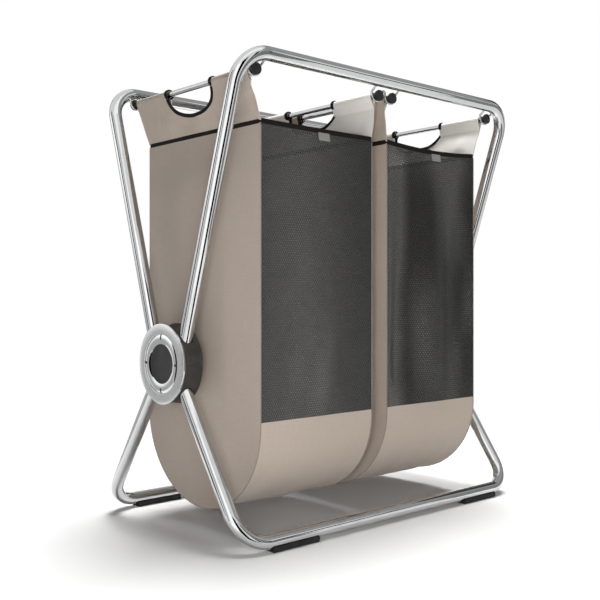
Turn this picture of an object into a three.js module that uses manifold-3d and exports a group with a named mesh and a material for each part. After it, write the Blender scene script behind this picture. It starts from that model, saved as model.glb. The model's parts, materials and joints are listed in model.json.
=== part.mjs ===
// A laundry hamper: a folding crossed frame of bent tube that carries two hanging fabric bins.
// Millimetres. X runs along the bars, Y from the front to the back, Z up. The floor is Z = 0.
import * as THREE from 'three';
import { mergeVertices } from 'three/addons/utils/BufferGeometryUtils.js';
import Module from 'manifold-3d';

const wasm = await Module();
wasm.setup();

// Clearances and shared steps
const clearance = 0.3;
const cutOverrun = 2;
const half = 0.5;
const quarterTurn = Math.PI / 2;
const halfTurn = Math.PI;
const fullTurn = 2 * Math.PI;

// Bent tube frame
const tubeRadius = 9.5;
const legPlaneX = 281.5;
const frameBendRadius = 45;
const barBeyondHook = 17.5;
const topBarZ = 644;
const bottomBarY = 165;
const bottomBarZ = 13;
const hubCentreZ = 236;
const topLegOffsetAtHub = 27;
const bottomLegOffsetAtHub = 13;
const legDepthInHub = 22;
const tubeSides = 12;
const frameBendSteps = 7;

// Hubs
const drumRadius = 56;
const drumSides = 36;
const smallTurnedSides = 16;
const basePlateThickness = 4.9;
const innerBlockWall = 1.5;
const outerBlockWall = 1;
const coverPlateThickness = 1.8;
const bezelBand = 11.3;
const buttonBehindBezel = 1.1;
const buttonThickness = 4.7;
const recessHalfAngle = THREE.MathUtils.degToRad(21);
const stopGapAngle = THREE.MathUtils.degToRad(0.3);
const flangeBand = 15;
const flangeThickness = 2.3;
const flangeSkirtWall = 2.5;
const flangeChamfer = 0.7;
const bezelThickness = 1.6;
const bezelNotchWidth = 3;
const bezelNotchDepth = 0.8;
const bezelNotchLength = 7;
const bossRadius = 12;
const webInsideButton = 1.7;
const webStart = 10;
const webThickness = 4;
const boltRadius = 5;
const boltHeadRadius = 9;
const boltHeadThickness = 3.5;
const springInnerRadius = 11;
const springOuterRadius = 14;

// Foot pads under the bottom bars
const padInnerX = 157;
const padLength = 80;
const padHalfWidth = 10.5;
const padSoleHalfWidth = 9;
const padSideHeight = 8;
const padArcSteps = 6;

// Rods and their end caps
const rodRadius = 4;
const rodBelowBar = 18.5;
const outerRodX = 247;
const innerRodX = 14.2;
const capDiscRadius = 8;
const capDiscThickness = 4;
const capNeckRadius = 5.5;
const capNeckLength = 9.7;
const capBeyondBag = 11;
const capBoreFloor = 1;
const rodSides = 10;

// Wire hooks under the top bars
const wireRadius = 1.75;
const wireSides = 8;
const hookHalfWidth = 10.75;
const hookInsideDisc = 3;
const hookBendSteps = 3;
const hookLegBendRadius = 3;
const hookLegStraight = 2.5;
const hookFitPasses = 8;

// Bags
const fabric = 1.5;
const bagOuterX = 229;
const bagInnerX = 16;
const bagHalfDepth = 136;
const bagBottomZ = 27;
const bagRoundHeight = 128;
const meshBottomZ = 162;
const flapHeight = 59.5;
const hemHeight = 9;
const bagRoundSteps = 24;

// Flaps, sleeves and hand openings
const sleeveWall = 1.5;
const handleHalfWidth = 53;
const handleRise = 30;
const handleRoundShare = 0.84;
const bindingWidth = 5;
const bindingThickness = 3;
const bindingEase = 0.6;
const handleSteps = 18;

// Worked-out places
const rodZ = topBarZ - rodBelowBar;
const capDiscInnerY = bagHalfDepth + capBeyondBag;
const hookY = capDiscInnerY - hookInsideDisc;
const topBarY = hookY + barBeyondHook;
const flangeInnerRadius = drumRadius - flangeBand;
const buttonRadius = flangeInnerRadius - bezelBand;
const webRadius = buttonRadius - webInsideButton;
const boreRadius = (tubeRadius + clearance) / Math.cos(halfTurn / tubeSides);
const hubInnerX = legPlaneX - tubeRadius - clearance - innerBlockWall - clearance - basePlateThickness;
const blockStart = hubInnerX + basePlateThickness;
const baseBlockEnd = legPlaneX + tubeRadius + clearance + outerBlockWall;
const coverPlateStart = baseBlockEnd + clearance;
const coverPlateEnd = coverPlateStart + coverPlateThickness;
const ringStart = coverPlateEnd + clearance;
const webFace = hubInnerX + webStart;
const webOuterFace = webFace + webThickness;
const buttonOuterFace = ringStart + bezelThickness - buttonBehindBezel;
const buttonInnerFace = buttonOuterFace - buttonThickness;
const hookWireZ = rodZ - capNeckRadius - clearance - wireRadius;
const hookLegTopZ = hookWireZ + hookHalfWidth + hookLegStraight;
const hemTopZ = rodZ - flapHeight;
const hemBottomZ = hemTopZ - hemHeight;
const rodHalfLength = capDiscInnerY - capBoreFloor - clearance;
const sleeveBoreRadius = (rodRadius + clearance) / Math.cos(halfTurn / rodSides);
const sleeveRadius = sleeveBoreRadius + sleeveWall;

// Materials
const finish = (color, roughness, metalness) =>
  new THREE.MeshStandardMaterial({ color, roughness, metalness });
const chrome = () => finish(0xd8dadc, 0.12, 1);
const satinMetal = () => finish(0xc4c6c8, 0.3, 1);
const blackPlastic = () => finish(0x1b1a19, 0.5, 0);
const darkPlastic = () => finish(0x3a3836, 0.45, 0);
const blackRubber = () => finish(0x121212, 0.8, 0);
const blackTape = () => finish(0x1e1614, 0.9, 0);
const canvas = () => finish(0xb4a89e, 0.95, 0);
const paleCanvas = () => finish(0xd8d2cc, 0.95, 0);
const darkMesh = () => finish(0x4a4847, 0.9, 0);

const model = new THREE.Group();

function addPiece(parent, name, geometry, material) {
  const mesh = new THREE.Mesh(geometry, material);
  mesh.name = name;
  parent.add(mesh);
  return mesh;
}

// A geometry with shared corners merged, so that only its positions and faces are left
function mergedCorners(geometry) {
  const bare = geometry.clone();
  for (const key of Object.keys(bare.attributes)) {
    if (key !== 'position') bare.deleteAttribute(key);
  }
  return mergeVertices(bare);
}

function signedVolume(geometry) {
  const place = geometry.attributes.position;
  const faces = geometry.index.array;
  const [a, b, c] = [new THREE.Vector3(), new THREE.Vector3(), new THREE.Vector3()];
  let sum = 0;
  for (let at = 0; at < faces.length; at += 3) {
    a.fromBufferAttribute(place, faces[at]);
    b.fromBufferAttribute(place, faces[at + 1]);
    c.fromBufferAttribute(place, faces[at + 2]);
    sum += a.dot(b.cross(c));
  }
  return sum;
}

// A closed geometry whose faces point out
function closed(geometry) {
  const merged = mergedCorners(geometry);
  if (signedVolume(merged) < 0) {
    const faces = merged.index.array;
    for (let at = 0; at < faces.length; at += 3) {
      const kept = faces[at + 1];
      faces[at + 1] = faces[at + 2];
      faces[at + 2] = kept;
    }
  }
  merged.computeVertexNormals();
  return merged;
}

function toSolid(geometry) {
  const shape = closed(geometry);
  return new wasm.Manifold(new wasm.Mesh({
    numProp: 3,
    vertProperties: new Float32Array(shape.attributes.position.array),
    triVerts: new Uint32Array(shape.index.array),
  }));
}

function toGeometry(solid) {
  const { numProp, vertProperties, triVerts } = solid.getMesh();
  const places = [];
  for (let at = 0; at < vertProperties.length; at += numProp) {
    places.push(vertProperties[at], vertProperties[at + 1], vertProperties[at + 2]);
  }
  const geometry = new THREE.BufferGeometry();
  geometry.setAttribute('position', new THREE.Float32BufferAttribute(places, 3));
  geometry.setIndex([...triVerts]);
  geometry.computeVertexNormals();
  return geometry;
}

// A curve that steps through chosen places, with the direction at each one
class StationCurve extends THREE.Curve {
  constructor(stations) {
    super();
    this.stations = stations;
  }

  stationAt(share) {
    return this.stations[Math.round(share * (this.stations.length - 1))];
  }

  getPointAt(share, target = new THREE.Vector3()) {
    return target.copy(this.stationAt(share).place);
  }

  getTangentAt(share, target = new THREE.Vector3()) {
    return target.copy(this.stationAt(share).ahead);
  }
}

// The places along a line with rounded corners: its two ends and the steps of each bend
function roundedStations(corners, radii, steps) {
  const first = corners[0];
  const last = corners[corners.length - 1];
  const stations = [{ place: first.clone(), ahead: corners[1].clone().sub(first).normalize() }];
  for (let at = 1; at < corners.length - 1; at += 1) {
    const corner = corners[at];
    const before = corner.clone().sub(corners[at - 1]).normalize();
    const after = corners[at + 1].clone().sub(corner).normalize();
    const turn = before.angleTo(after);
    const radius = radii[at - 1];
    const start = corner.clone().addScaledVector(before, -radius * Math.tan(turn * half));
    const sideways = after.clone().addScaledVector(before, -after.dot(before)).normalize();
    const centre = start.clone().addScaledVector(sideways, radius);
    for (let step = 0; step <= steps; step += 1) {
      const angle = turn * (step / steps);
      stations.push({
        place: centre.clone()
          .addScaledVector(sideways, -radius * Math.cos(angle))
          .addScaledVector(before, radius * Math.sin(angle)),
        ahead: before.clone().multiplyScalar(Math.cos(angle))
          .addScaledVector(sideways, Math.sin(angle)),
      });
    }
  }
  const end = last.clone().sub(corners[corners.length - 2]).normalize();
  stations.push({ place: last.clone(), ahead: end });
  const apart = tubeRadius / 1000;
  return stations.filter((station, at) =>
    at === 0 || station.place.distanceTo(stations[at - 1].place) > apart);
}

function roundShape(radius, sides) {
  const points = [];
  for (let at = 0; at < sides; at += 1) {
    const angle = fullTurn * (at / sides);
    points.push([radius * Math.cos(angle), radius * Math.sin(angle)]);
  }
  return shapeOf(points);
}

function tubeAlong(corners, radii, radius, sides, steps) {
  const stations = roundedStations(corners, radii, steps);
  return closed(new THREE.ExtrudeGeometry(roundShape(radius, sides), {
    steps: stations.length - 1,
    extrudePath: new StationCurve(stations),
  }));
}

// A prism whose outline is drawn in YZ and whose length runs along +X from startX
function prismAlongX(shape, startX, length) {
  const geometry = new THREE.ExtrudeGeometry(shape, { depth: length, bevelEnabled: false });
  const along = new THREE.Matrix4().makeBasis(
    new THREE.Vector3(0, 1, 0), new THREE.Vector3(0, 0, 1), new THREE.Vector3(1, 0, 0));
  geometry.applyMatrix4(along);
  geometry.translate(startX, 0, 0);
  return closed(geometry);
}

function shapeOf(points) {
  return new THREE.Shape(points.map(([across, up]) => new THREE.Vector2(across, up)));
}

// Frame tubes. Each U has one bar and two legs that end inside the hubs.

// The corner of a U and the place in the hub where its legs end, seen from the side
function legLine(barY, barZ, offsetAtHub) {
  const bar = new THREE.Vector2(barY, barZ);
  const pass = new THREE.Vector2(Math.sign(barY) * offsetAtHub, hubCentreZ);
  const ahead = pass.clone().sub(bar).normalize();
  const fromHub = new THREE.Vector2(bar.x, bar.y - hubCentreZ);
  const along = -fromHub.dot(ahead);
  const nearest = fromHub.clone().addScaledVector(ahead, along);
  const toRim = Math.sqrt(drumRadius ** 2 - nearest.lengthSq());
  const end = bar.clone().addScaledVector(ahead, along - toRim + legDepthInHub);
  return { bar, ahead, end };
}

const frameParts = [
  { name: 'front_top_frame', line: legLine(-topBarY, topBarZ, topLegOffsetAtHub) },
  { name: 'rear_top_frame', line: legLine(topBarY, topBarZ, topLegOffsetAtHub) },
  { name: 'front_bottom_frame', line: legLine(-bottomBarY, bottomBarZ, bottomLegOffsetAtHub) },
  { name: 'rear_bottom_frame', line: legLine(bottomBarY, bottomBarZ, bottomLegOffsetAtHub) },
];

function frameTube({ bar, end }) {
  const corners = [
    new THREE.Vector3(-legPlaneX, end.x, end.y),
    new THREE.Vector3(-legPlaneX, bar.x, bar.y),
    new THREE.Vector3(legPlaneX, bar.x, bar.y),
    new THREE.Vector3(legPlaneX, end.x, end.y),
  ];
  const radii = [frameBendRadius, frameBendRadius];
  return tubeAlong(corners, radii, tubeRadius, tubeSides, frameBendSteps);
}

function addFrame() {
  for (const { name, line } of frameParts) {
    addPiece(model, name, frameTube(line), chrome());
  }
}

// Foot pads: a cradle under the bar with a flat sole

function padShape() {
  const cradle = (tubeRadius + clearance) / Math.cos(halfTurn / tubeSides);
  const lip = Math.asin((bottomBarZ - padSideHeight) / cradle);
  const points = [
    [-padHalfWidth, padSideHeight],
    [-padSoleHalfWidth, 0],
    [padSoleHalfWidth, 0],
    [padHalfWidth, padSideHeight],
  ];
  for (let step = 0; step <= padArcSteps; step += 1) {
    const angle = -lip - (halfTurn - 2 * lip) * (step / padArcSteps);
    points.push([cradle * Math.cos(angle), bottomBarZ + cradle * Math.sin(angle)]);
  }
  return shapeOf(points);
}

function addFootPads() {
  for (const [end, wayY] of [['front', -1], ['rear', 1]]) {
    for (const [side, startX] of [['left', -padInnerX - padLength], ['right', padInnerX]]) {
      const pad = addPiece(
        model, `${end}_${side}_foot_pad`, prismAlongX(padShape(), startX, padLength), blackRubber());
      pad.position.y = wayY * bottomBarY;
    }
  }
}

// Hubs. Each is drawn in a group whose X is the model's Y, turned for the left side,
// whose Y is the model's Z and whose Z points outward from the middle of the hamper.

function drum(radius, from, to, sides = drumSides) {
  const geometry = new THREE.CylinderGeometry(radius, radius, to - from, sides);
  geometry.rotateX(quarterTurn);
  geometry.translate(0, 0, (from + to) * half);
  return toSolid(geometry);
}

// A wedge between two angles, counted from straight up towards the front
function wedge(side, fromAngle, toAngle, from, to) {
  const reach = drumRadius * 2;
  const steps = 4;
  const points = [[0, 0]];
  for (let step = 0; step <= steps; step += 1) {
    const angle = fromAngle + (toAngle - fromAngle) * (step / steps);
    points.push([-side * reach * Math.sin(angle), reach * Math.cos(angle)]);
  }
  const geometry = new THREE.ExtrudeGeometry(shapeOf(points), { depth: to - from, bevelEnabled: false });
  geometry.translate(0, 0, from);
  return toSolid(geometry);
}

// The socket for one leg, a little wider and deeper than the tube in it
function legBore(side, { end, ahead }) {
  const length = legDepthInHub + drumRadius;
  const geometry = new THREE.CylinderGeometry(boreRadius, boreRadius, length, tubeSides);
  const out = new THREE.Vector3(-side * ahead.x, -ahead.y, 0);
  geometry.applyQuaternion(new THREE.Quaternion().setFromUnitVectors(new THREE.Vector3(0, 1, 0), out));
  const middle = length * half - clearance;
  geometry.translate(
    side * end.x + out.x * middle, end.y - hubCentreZ + out.y * middle, legPlaneX);
  return toSolid(geometry);
}

const lineOf = (name) => frameParts.find((part) => part.name === name).line;

function boltHole(from, to) {
  const radius = (boltRadius + clearance) / Math.cos(halfTurn / smallTurnedSides);
  return drum(radius, from, to, smallTurnedSides);
}

// The shell on the rear frame: inner plate, centre boss and two blocks with leg sockets
function baseShell(side) {
  const layer = [blockStart, baseBlockEnd + cutOverrun];
  const blockEdge = quarterTurn + stopGapAngle;
  const cuts = [
    drum(buttonRadius + clearance * 2, ...layer),
    wedge(side, halfTurn - recessHalfAngle, halfTurn + blockEdge, ...layer),
    wedge(side, -recessHalfAngle, blockEdge, ...layer),
    legBore(side, lineOf('rear_top_frame')),
    legBore(side, lineOf('front_bottom_frame')),
  ];
  let shell = drum(drumRadius, hubInnerX, baseBlockEnd);
  for (const cut of cuts) shell = shell.subtract(cut);
  const bossStart = hubInnerX + basePlateThickness * half;
  shell = shell.add(drum(bossRadius, bossStart, webFace - clearance, smallTurnedSides));
  return toGeometry(shell.subtract(boltHole(hubInnerX - cutOverrun, webFace + cutOverrun)));
}

// The shell on the front frame: outer plate, inner web and two blocks with leg sockets
function coverShell(side) {
  const layer = [blockStart - cutOverrun, coverPlateStart];
  const core = drum(webRadius, layer[0] - cutOverrun, coverPlateEnd + cutOverrun);
  const threeQuarterTurn = halfTurn + quarterTurn;
  const outside = (from, to) => wedge(side, from, to, ...layer).subtract(core);
  const cuts = [
    outside(quarterTurn - stopGapAngle, halfTurn + recessHalfAngle),
    outside(threeQuarterTurn - stopGapAngle, fullTurn + recessHalfAngle),
    drum(buttonRadius + clearance, webOuterFace, coverPlateEnd + cutOverrun),
    drum(buttonRadius + clearance, blockStart - cutOverrun, webFace),
    boltHole(webFace - cutOverrun, webOuterFace + cutOverrun),
    legBore(side, lineOf('front_top_frame')),
    legBore(side, lineOf('rear_bottom_frame')),
  ];
  let shell = drum(drumRadius, blockStart + clearance, coverPlateStart)
    .add(drum(drumRadius - flangeSkirtWall - clearance, blockStart + clearance, coverPlateEnd));
  for (const cut of cuts) shell = shell.subtract(cut);
  return toGeometry(shell);
}

// A ring about the hub axis, from an outline of [radius, outward] points
function turned(points, sides = drumSides) {
  const outline = [...points, points[0]].map(([radius, out]) => new THREE.Vector2(radius, out));
  const geometry = new THREE.LatheGeometry(outline, sides);
  geometry.rotateX(quarterTurn);
  return closed(geometry);
}

// The outer ring has a skirt that wraps the edge of the cover plate
function flangeRing() {
  const face = ringStart + flangeThickness;
  const skirtStart = coverPlateStart + clearance;
  return turned([
    [flangeInnerRadius, ringStart],
    [drumRadius - flangeSkirtWall, ringStart],
    [drumRadius - flangeSkirtWall, skirtStart],
    [drumRadius, skirtStart],
    [drumRadius, face - flangeChamfer],
    [drumRadius - flangeChamfer, face],
    [flangeInnerRadius + flangeChamfer, face],
    [flangeInnerRadius, face - flangeChamfer],
  ]);
}

// The inner ring has four short notches in its outer edge, at the top, bottom and both sides
function bezelRing() {
  const outerRadius = flangeInnerRadius - clearance;
  const face = ringStart + bezelThickness;
  let ring = toSolid(turned([
    [buttonRadius + clearance, ringStart],
    [outerRadius, ringStart],
    [outerRadius, face],
    [buttonRadius + clearance, face],
  ]));
  for (const turn of [0, quarterTurn, halfTurn, halfTurn + quarterTurn]) {
    const notch = new THREE.BoxGeometry(bezelNotchWidth, bezelNotchLength * 2, bezelNotchDepth * 2);
    notch.translate(0, outerRadius, face);
    notch.rotateZ(turn);
    ring = ring.subtract(toSolid(notch));
  }
  return toGeometry(ring);
}

function releaseButton() {
  return toGeometry(drum(buttonRadius, buttonInnerFace, buttonOuterFace));
}

function pivotBolt() {
  const headStart = webOuterFace + clearance;
  const headEnd = headStart + boltHeadThickness;
  const shankEnd = headStart + boltHeadThickness * half;
  const shank = drum(boltRadius, hubInnerX + clearance, shankEnd, smallTurnedSides);
  return toGeometry(shank.add(drum(boltHeadRadius, headStart, headEnd, smallTurnedSides)));
}

function buttonSpring() {
  return turned([
    [springInnerRadius, webOuterFace + clearance],
    [springOuterRadius, webOuterFace + clearance],
    [springOuterRadius, buttonInnerFace - clearance],
    [springInnerRadius, buttonInnerFace - clearance],
  ], smallTurnedSides);
}

function addHub(name, side) {
  const hub = new THREE.Group();
  hub.quaternion.setFromRotationMatrix(new THREE.Matrix4().makeBasis(
    new THREE.Vector3(0, side, 0), new THREE.Vector3(0, 0, 1), new THREE.Vector3(side, 0, 0)));
  hub.position.z = hubCentreZ;
  addPiece(hub, `${name}_hub_base_shell`, baseShell(side), darkPlastic());
  addPiece(hub, `${name}_hub_cover_shell`, coverShell(side), darkPlastic());
  addPiece(hub, `${name}_hub_flange_ring`, flangeRing(), satinMetal());
  addPiece(hub, `${name}_hub_bezel_ring`, bezelRing(), chrome());
  addPiece(hub, `${name}_hub_release_button`, releaseButton(), blackPlastic());
  addPiece(hub, `${name}_hub_pivot_bolt`, pivotBolt(), satinMetal());
  addPiece(hub, `${name}_hub_button_spring`, buttonSpring(), satinMetal());
  model.add(hub);
}

// Hooks: bent wire that hangs under a top bar and carries the ends of the rods

// How far a place is from the centreline of the rear top tube, bends included
function fromTopTube(intoBend, place) {
  const { bar, ahead } = lineOf('rear_top_frame');
  const offset = place.clone().sub(bar);
  const toCentre = Math.hypot(intoBend, frameBendRadius - offset.dot(ahead));
  return Math.hypot(frameBendRadius - toCentre, offset.cross(ahead));
}

// Where the wire of a hook ends, close against the bar above it
function hookEnd(atX, wayY) {
  const { bar, ahead } = lineOf('rear_top_frame');
  const intoBend = Math.max(0, Math.abs(atX) - legPlaneX + frameBendRadius);
  const drop = frameBendRadius - Math.sqrt(frameBendRadius ** 2 - intoBend ** 2);
  const target = bar.clone().addScaledVector(ahead, drop);
  const start = new THREE.Vector2(hookY, hookLegTopZ);
  const way = target.sub(start).normalize();
  const end = start.clone();
  const rim = [
    [-wireRadius, 0],
    [wireRadius, 0],
    [0, -wireRadius],
    [0, wireRadius],
  ];
  for (let pass = 0; pass < hookFitPasses; pass += 1) {
    const apart = rim.map(([acrossX, acrossWay]) => fromTopTube(
      Math.max(0, intoBend + acrossX),
      new THREE.Vector2(end.x - way.y * acrossWay, end.y + way.x * acrossWay)));
    end.addScaledVector(way, Math.min(...apart) - tubeRadius - clearance);
  }
  return new THREE.Vector3(atX, wayY * end.x, end.y);
}

function hookWire(rodXs, wayY) {
  const firstX = rodXs[0] - hookHalfWidth;
  const lastX = rodXs[rodXs.length - 1] + hookHalfWidth;
  const corners = [hookEnd(firstX, wayY)];
  const radii = [];
  const place = (x, z, radius) => {
    corners.push(new THREE.Vector3(x, wayY * hookY, z));
    radii.push(radius);
  };
  rodXs.forEach((rodX, at) => {
    if (at === 0) place(firstX, hookLegTopZ, hookLegBendRadius);
    place(rodX - hookHalfWidth, hookWireZ, hookHalfWidth);
    place(rodX + hookHalfWidth, hookWireZ, hookHalfWidth);
    if (at < rodXs.length - 1) {
      const crossing = (rodXs[at + 1] - rodX) * half - hookHalfWidth;
      place(rodX + hookHalfWidth, hookLegTopZ + crossing, crossing);
      place(rodXs[at + 1] - hookHalfWidth, hookLegTopZ + crossing, crossing);
    }
  });
  place(lastX, hookLegTopZ, hookLegBendRadius);
  corners.push(hookEnd(lastX, wayY));
  return tubeAlong(corners, radii, wireRadius, wireSides, hookBendSteps);
}

function addHooks() {
  for (const [end, wayY] of [['front', -1], ['rear', 1]]) {
    addPiece(model, `${end}_left_hook`, hookWire([-outerRodX], wayY), chrome());
    addPiece(model, `${end}_middle_hook`, hookWire([-innerRodX, innerRodX], wayY), chrome());
    addPiece(model, `${end}_right_hook`, hookWire([outerRodX], wayY), chrome());
  }
}

// Rods and caps

function rod() {
  const length = rodHalfLength * 2;
  return closed(new THREE.CylinderGeometry(rodRadius, rodRadius, length, rodSides));
}

function rodCap() {
  const boreFloor = capDiscInnerY - capBoreFloor;
  const neckStart = capDiscInnerY - capNeckLength;
  const outer = capDiscInnerY + capDiscThickness;
  const outline = [
    [0, boreFloor],
    [sleeveBoreRadius, boreFloor],
    [sleeveBoreRadius, neckStart],
    [capNeckRadius, neckStart],
    [capNeckRadius, capDiscInnerY],
    [capDiscRadius, capDiscInnerY],
    [capDiscRadius, outer],
    [0, outer],
  ].map(([radius, out]) => new THREE.Vector2(radius, out));
  return closed(new THREE.LatheGeometry(outline, rodSides));
}

function addRod(parent, name, rodX) {
  const bar = new THREE.Group();
  bar.position.set(rodX, 0, rodZ);
  addPiece(bar, `${name}_rod`, rod(), satinMetal());
  addPiece(bar, `${name}_rod_rear_cap`, rodCap(), blackPlastic());
  const front = addPiece(bar, `${name}_rod_front_cap`, rodCap(), blackPlastic());
  front.rotation.z = halfTurn;
  parent.add(bar);
}

// Bags. Each is drawn in a group of its own, mirrored in its numbers by side.

// The round lower edge of the bag, inset by some thickness, from the rear to the front
function roundEdge(inset) {
  const centreZ = bagBottomZ + bagRoundHeight;
  const points = [];
  for (let step = 0; step <= bagRoundSteps; step += 1) {
    const angle = halfTurn * (step / bagRoundSteps);
    points.push([
      (bagHalfDepth - inset) * Math.cos(angle),
      centreZ - (bagRoundHeight - inset) * Math.sin(angle),
    ]);
  }
  return points;
}

function bottomSling(startX, width) {
  const top = meshBottomZ - clearance;
  const points = [
    [bagHalfDepth, top],
    ...roundEdge(0),
    [-bagHalfDepth, top],
    [-bagHalfDepth + fabric, top],
    ...roundEdge(fabric).reverse(),
    [bagHalfDepth - fabric, top],
  ];
  return prismAlongX(shapeOf(points), startX, width);
}

function sidePanel(startX) {
  const inset = fabric + clearance;
  const top = hemBottomZ - clearance;
  const points = [
    [bagHalfDepth - inset, top],
    ...roundEdge(inset),
    [-bagHalfDepth + inset, top],
  ];
  return prismAlongX(shapeOf(points), startX, fabric);
}

function boxBetween(low, high) {
  const size = high.map((value, axis) => value - low[axis]);
  const geometry = new THREE.BoxGeometry(...size);
  geometry.translate(...high.map((value, axis) => (value + low[axis]) * half));
  return geometry;
}

function meshPanel(startX, width, startY) {
  const low = [startX, startY, meshBottomZ];
  const high = [startX + width, startY + fabric, hemBottomZ - clearance];
  return closed(boxBetween(low, high));
}

function hemTape(startX, width) {
  const outer = boxBetween(
    [startX, -bagHalfDepth, hemBottomZ], [startX + width, bagHalfDepth, hemTopZ]);
  const inner = boxBetween(
    [startX + fabric, -bagHalfDepth + fabric, hemBottomZ - cutOverrun],
    [startX + width - fabric, bagHalfDepth - fabric, hemTopZ + cutOverrun]);
  return toGeometry(toSolid(outer).subtract(toSolid(inner)));
}

// The slope of a flap, from the middle of the hem's thickness up to the axis of its rod
function flapLine(hemX, rodX) {
  const foot = new THREE.Vector2(hemX, hemTopZ + clearance);
  const top = new THREE.Vector2(rodX, rodZ);
  const up = top.clone().sub(foot);
  const length = up.length();
  return { foot, top, up: up.normalize(), length };
}

// The hand opening as an outline: across is Y and up runs along the slope of the flap.
// Below the rod it is round, a little fuller than half an ellipse.
function handOpening(line, inset, topEdge) {
  const wide = handleHalfWidth - inset;
  const deep = line.length - handleRise - inset;
  const points = topEdge > line.length ? [[wide, topEdge]] : [];
  const lip = Math.max(0, Math.min(1, (line.length - topEdge) / deep));
  const start = Math.asin(lip ** (1 / handleRoundShare));
  for (let step = 0; step <= handleSteps; step += 1) {
    const angle = start + (halfTurn - start * 2) * (step / handleSteps);
    const across = Math.abs(Math.cos(angle)) ** handleRoundShare;
    const down = Math.sin(angle) ** handleRoundShare;
    points.push([wide * across * Math.sign(Math.cos(angle)), line.length - deep * down]);
  }
  if (topEdge > line.length) points.push([-wide, topEdge]);
  return points;
}

// A slab in the plane of a flap, from an outline of [across, up] points
function slabOnFlap({ foot, up }, points, thickness) {
  const geometry = new THREE.ExtrudeGeometry(shapeOf(points), { depth: thickness, bevelEnabled: false });
  geometry.translate(0, 0, -thickness * half);
  geometry.applyMatrix4(new THREE.Matrix4().makeBasis(
    new THREE.Vector3(0, 1, 0),
    new THREE.Vector3(up.x, 0, up.y),
    new THREE.Vector3(up.y, 0, -up.x)));
  geometry.translate(foot.x, 0, foot.y);
  return geometry;
}

function alongRod(radius, halfLength, line) {
  const geometry = new THREE.CylinderGeometry(radius, radius, halfLength * 2, rodSides);
  geometry.translate(line.top.x, 0, line.top.y);
  return toSolid(geometry);
}

function flap(line) {
  const floor = boxBetween(
    [-outerRodX * 2, -bagHalfDepth * 2, 0], [outerRodX * 2, bagHalfDepth * 2, line.foot.y]);
  const sheet = slabOnFlap(line, [
    [-bagHalfDepth, -fabric],
    [bagHalfDepth, -fabric],
    [bagHalfDepth, line.length],
    [-bagHalfDepth, line.length],
  ], fabric);
  const cutTop = line.length + sleeveRadius + cutOverrun;
  const cutThickness = sleeveRadius * 2 + cutOverrun * 2;
  return toGeometry(toSolid(sheet)
    .add(alongRod(sleeveRadius, bagHalfDepth, line))
    .subtract(alongRod(sleeveBoreRadius, bagHalfDepth + cutOverrun, line))
    .subtract(toSolid(slabOnFlap(line, handOpening(line, 0, cutTop), cutThickness)))
    .subtract(toSolid(floor)));
}

function handleBinding(line) {
  const top = line.length - sleeveRadius - clearance;
  const outline = [
    ...handOpening(line, bindingEase, top),
    ...handOpening(line, bindingEase + bindingWidth, top).reverse(),
  ];
  return closed(slabOnFlap(line, outline, bindingThickness));
}

function addBag(name, side) {
  const bag = new THREE.Group();
  const width = bagOuterX - bagInnerX;
  const startX = side > 0 ? bagInnerX : -bagOuterX;
  const outerStart = side > 0 ? bagOuterX - fabric : -bagOuterX;
  const innerStart = side > 0 ? bagInnerX : -bagInnerX - fabric;
  const outerLine = flapLine(side * (bagOuterX - fabric * half), side * outerRodX);
  const innerLine = flapLine(side * (bagInnerX + fabric * half), side * innerRodX);
  addPiece(bag, `${name}_bag_front_mesh`, meshPanel(startX, width, -bagHalfDepth), darkMesh());
  addPiece(bag, `${name}_bag_back_mesh`, meshPanel(startX, width, bagHalfDepth - fabric), darkMesh());
  addPiece(bag, `${name}_bag_bottom_sling`, bottomSling(startX, width), canvas());
  addPiece(bag, `${name}_bag_outer_side`, sidePanel(outerStart), canvas());
  addPiece(bag, `${name}_bag_inner_side`, sidePanel(innerStart), canvas());
  addPiece(bag, `${name}_bag_hem_tape`, hemTape(startX, width), blackTape());
  addPiece(bag, `${name}_bag_outer_flap`, flap(outerLine), paleCanvas());
  addPiece(bag, `${name}_bag_inner_flap`, flap(innerLine), paleCanvas());
  addPiece(bag, `${name}_outer_handle_binding`, handleBinding(outerLine), blackTape());
  addPiece(bag, `${name}_inner_handle_binding`, handleBinding(innerLine), blackTape());
  addRod(bag, `${name}_outer`, side * outerRodX);
  addRod(bag, `${name}_inner`, side * innerRodX);
  model.add(bag);
}

addFrame();
addFootPads();
addHub('left', -1);
addHub('right', 1);
addHooks();
addBag('left', -1);
addBag('right', 1);

export default model;
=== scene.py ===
import json
import logging
import math
from collections.abc import Callable, Sequence
from dataclasses import dataclass, field
from enum import Enum
from typing import TypeVar

import bpy
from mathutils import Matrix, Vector, noise

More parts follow.
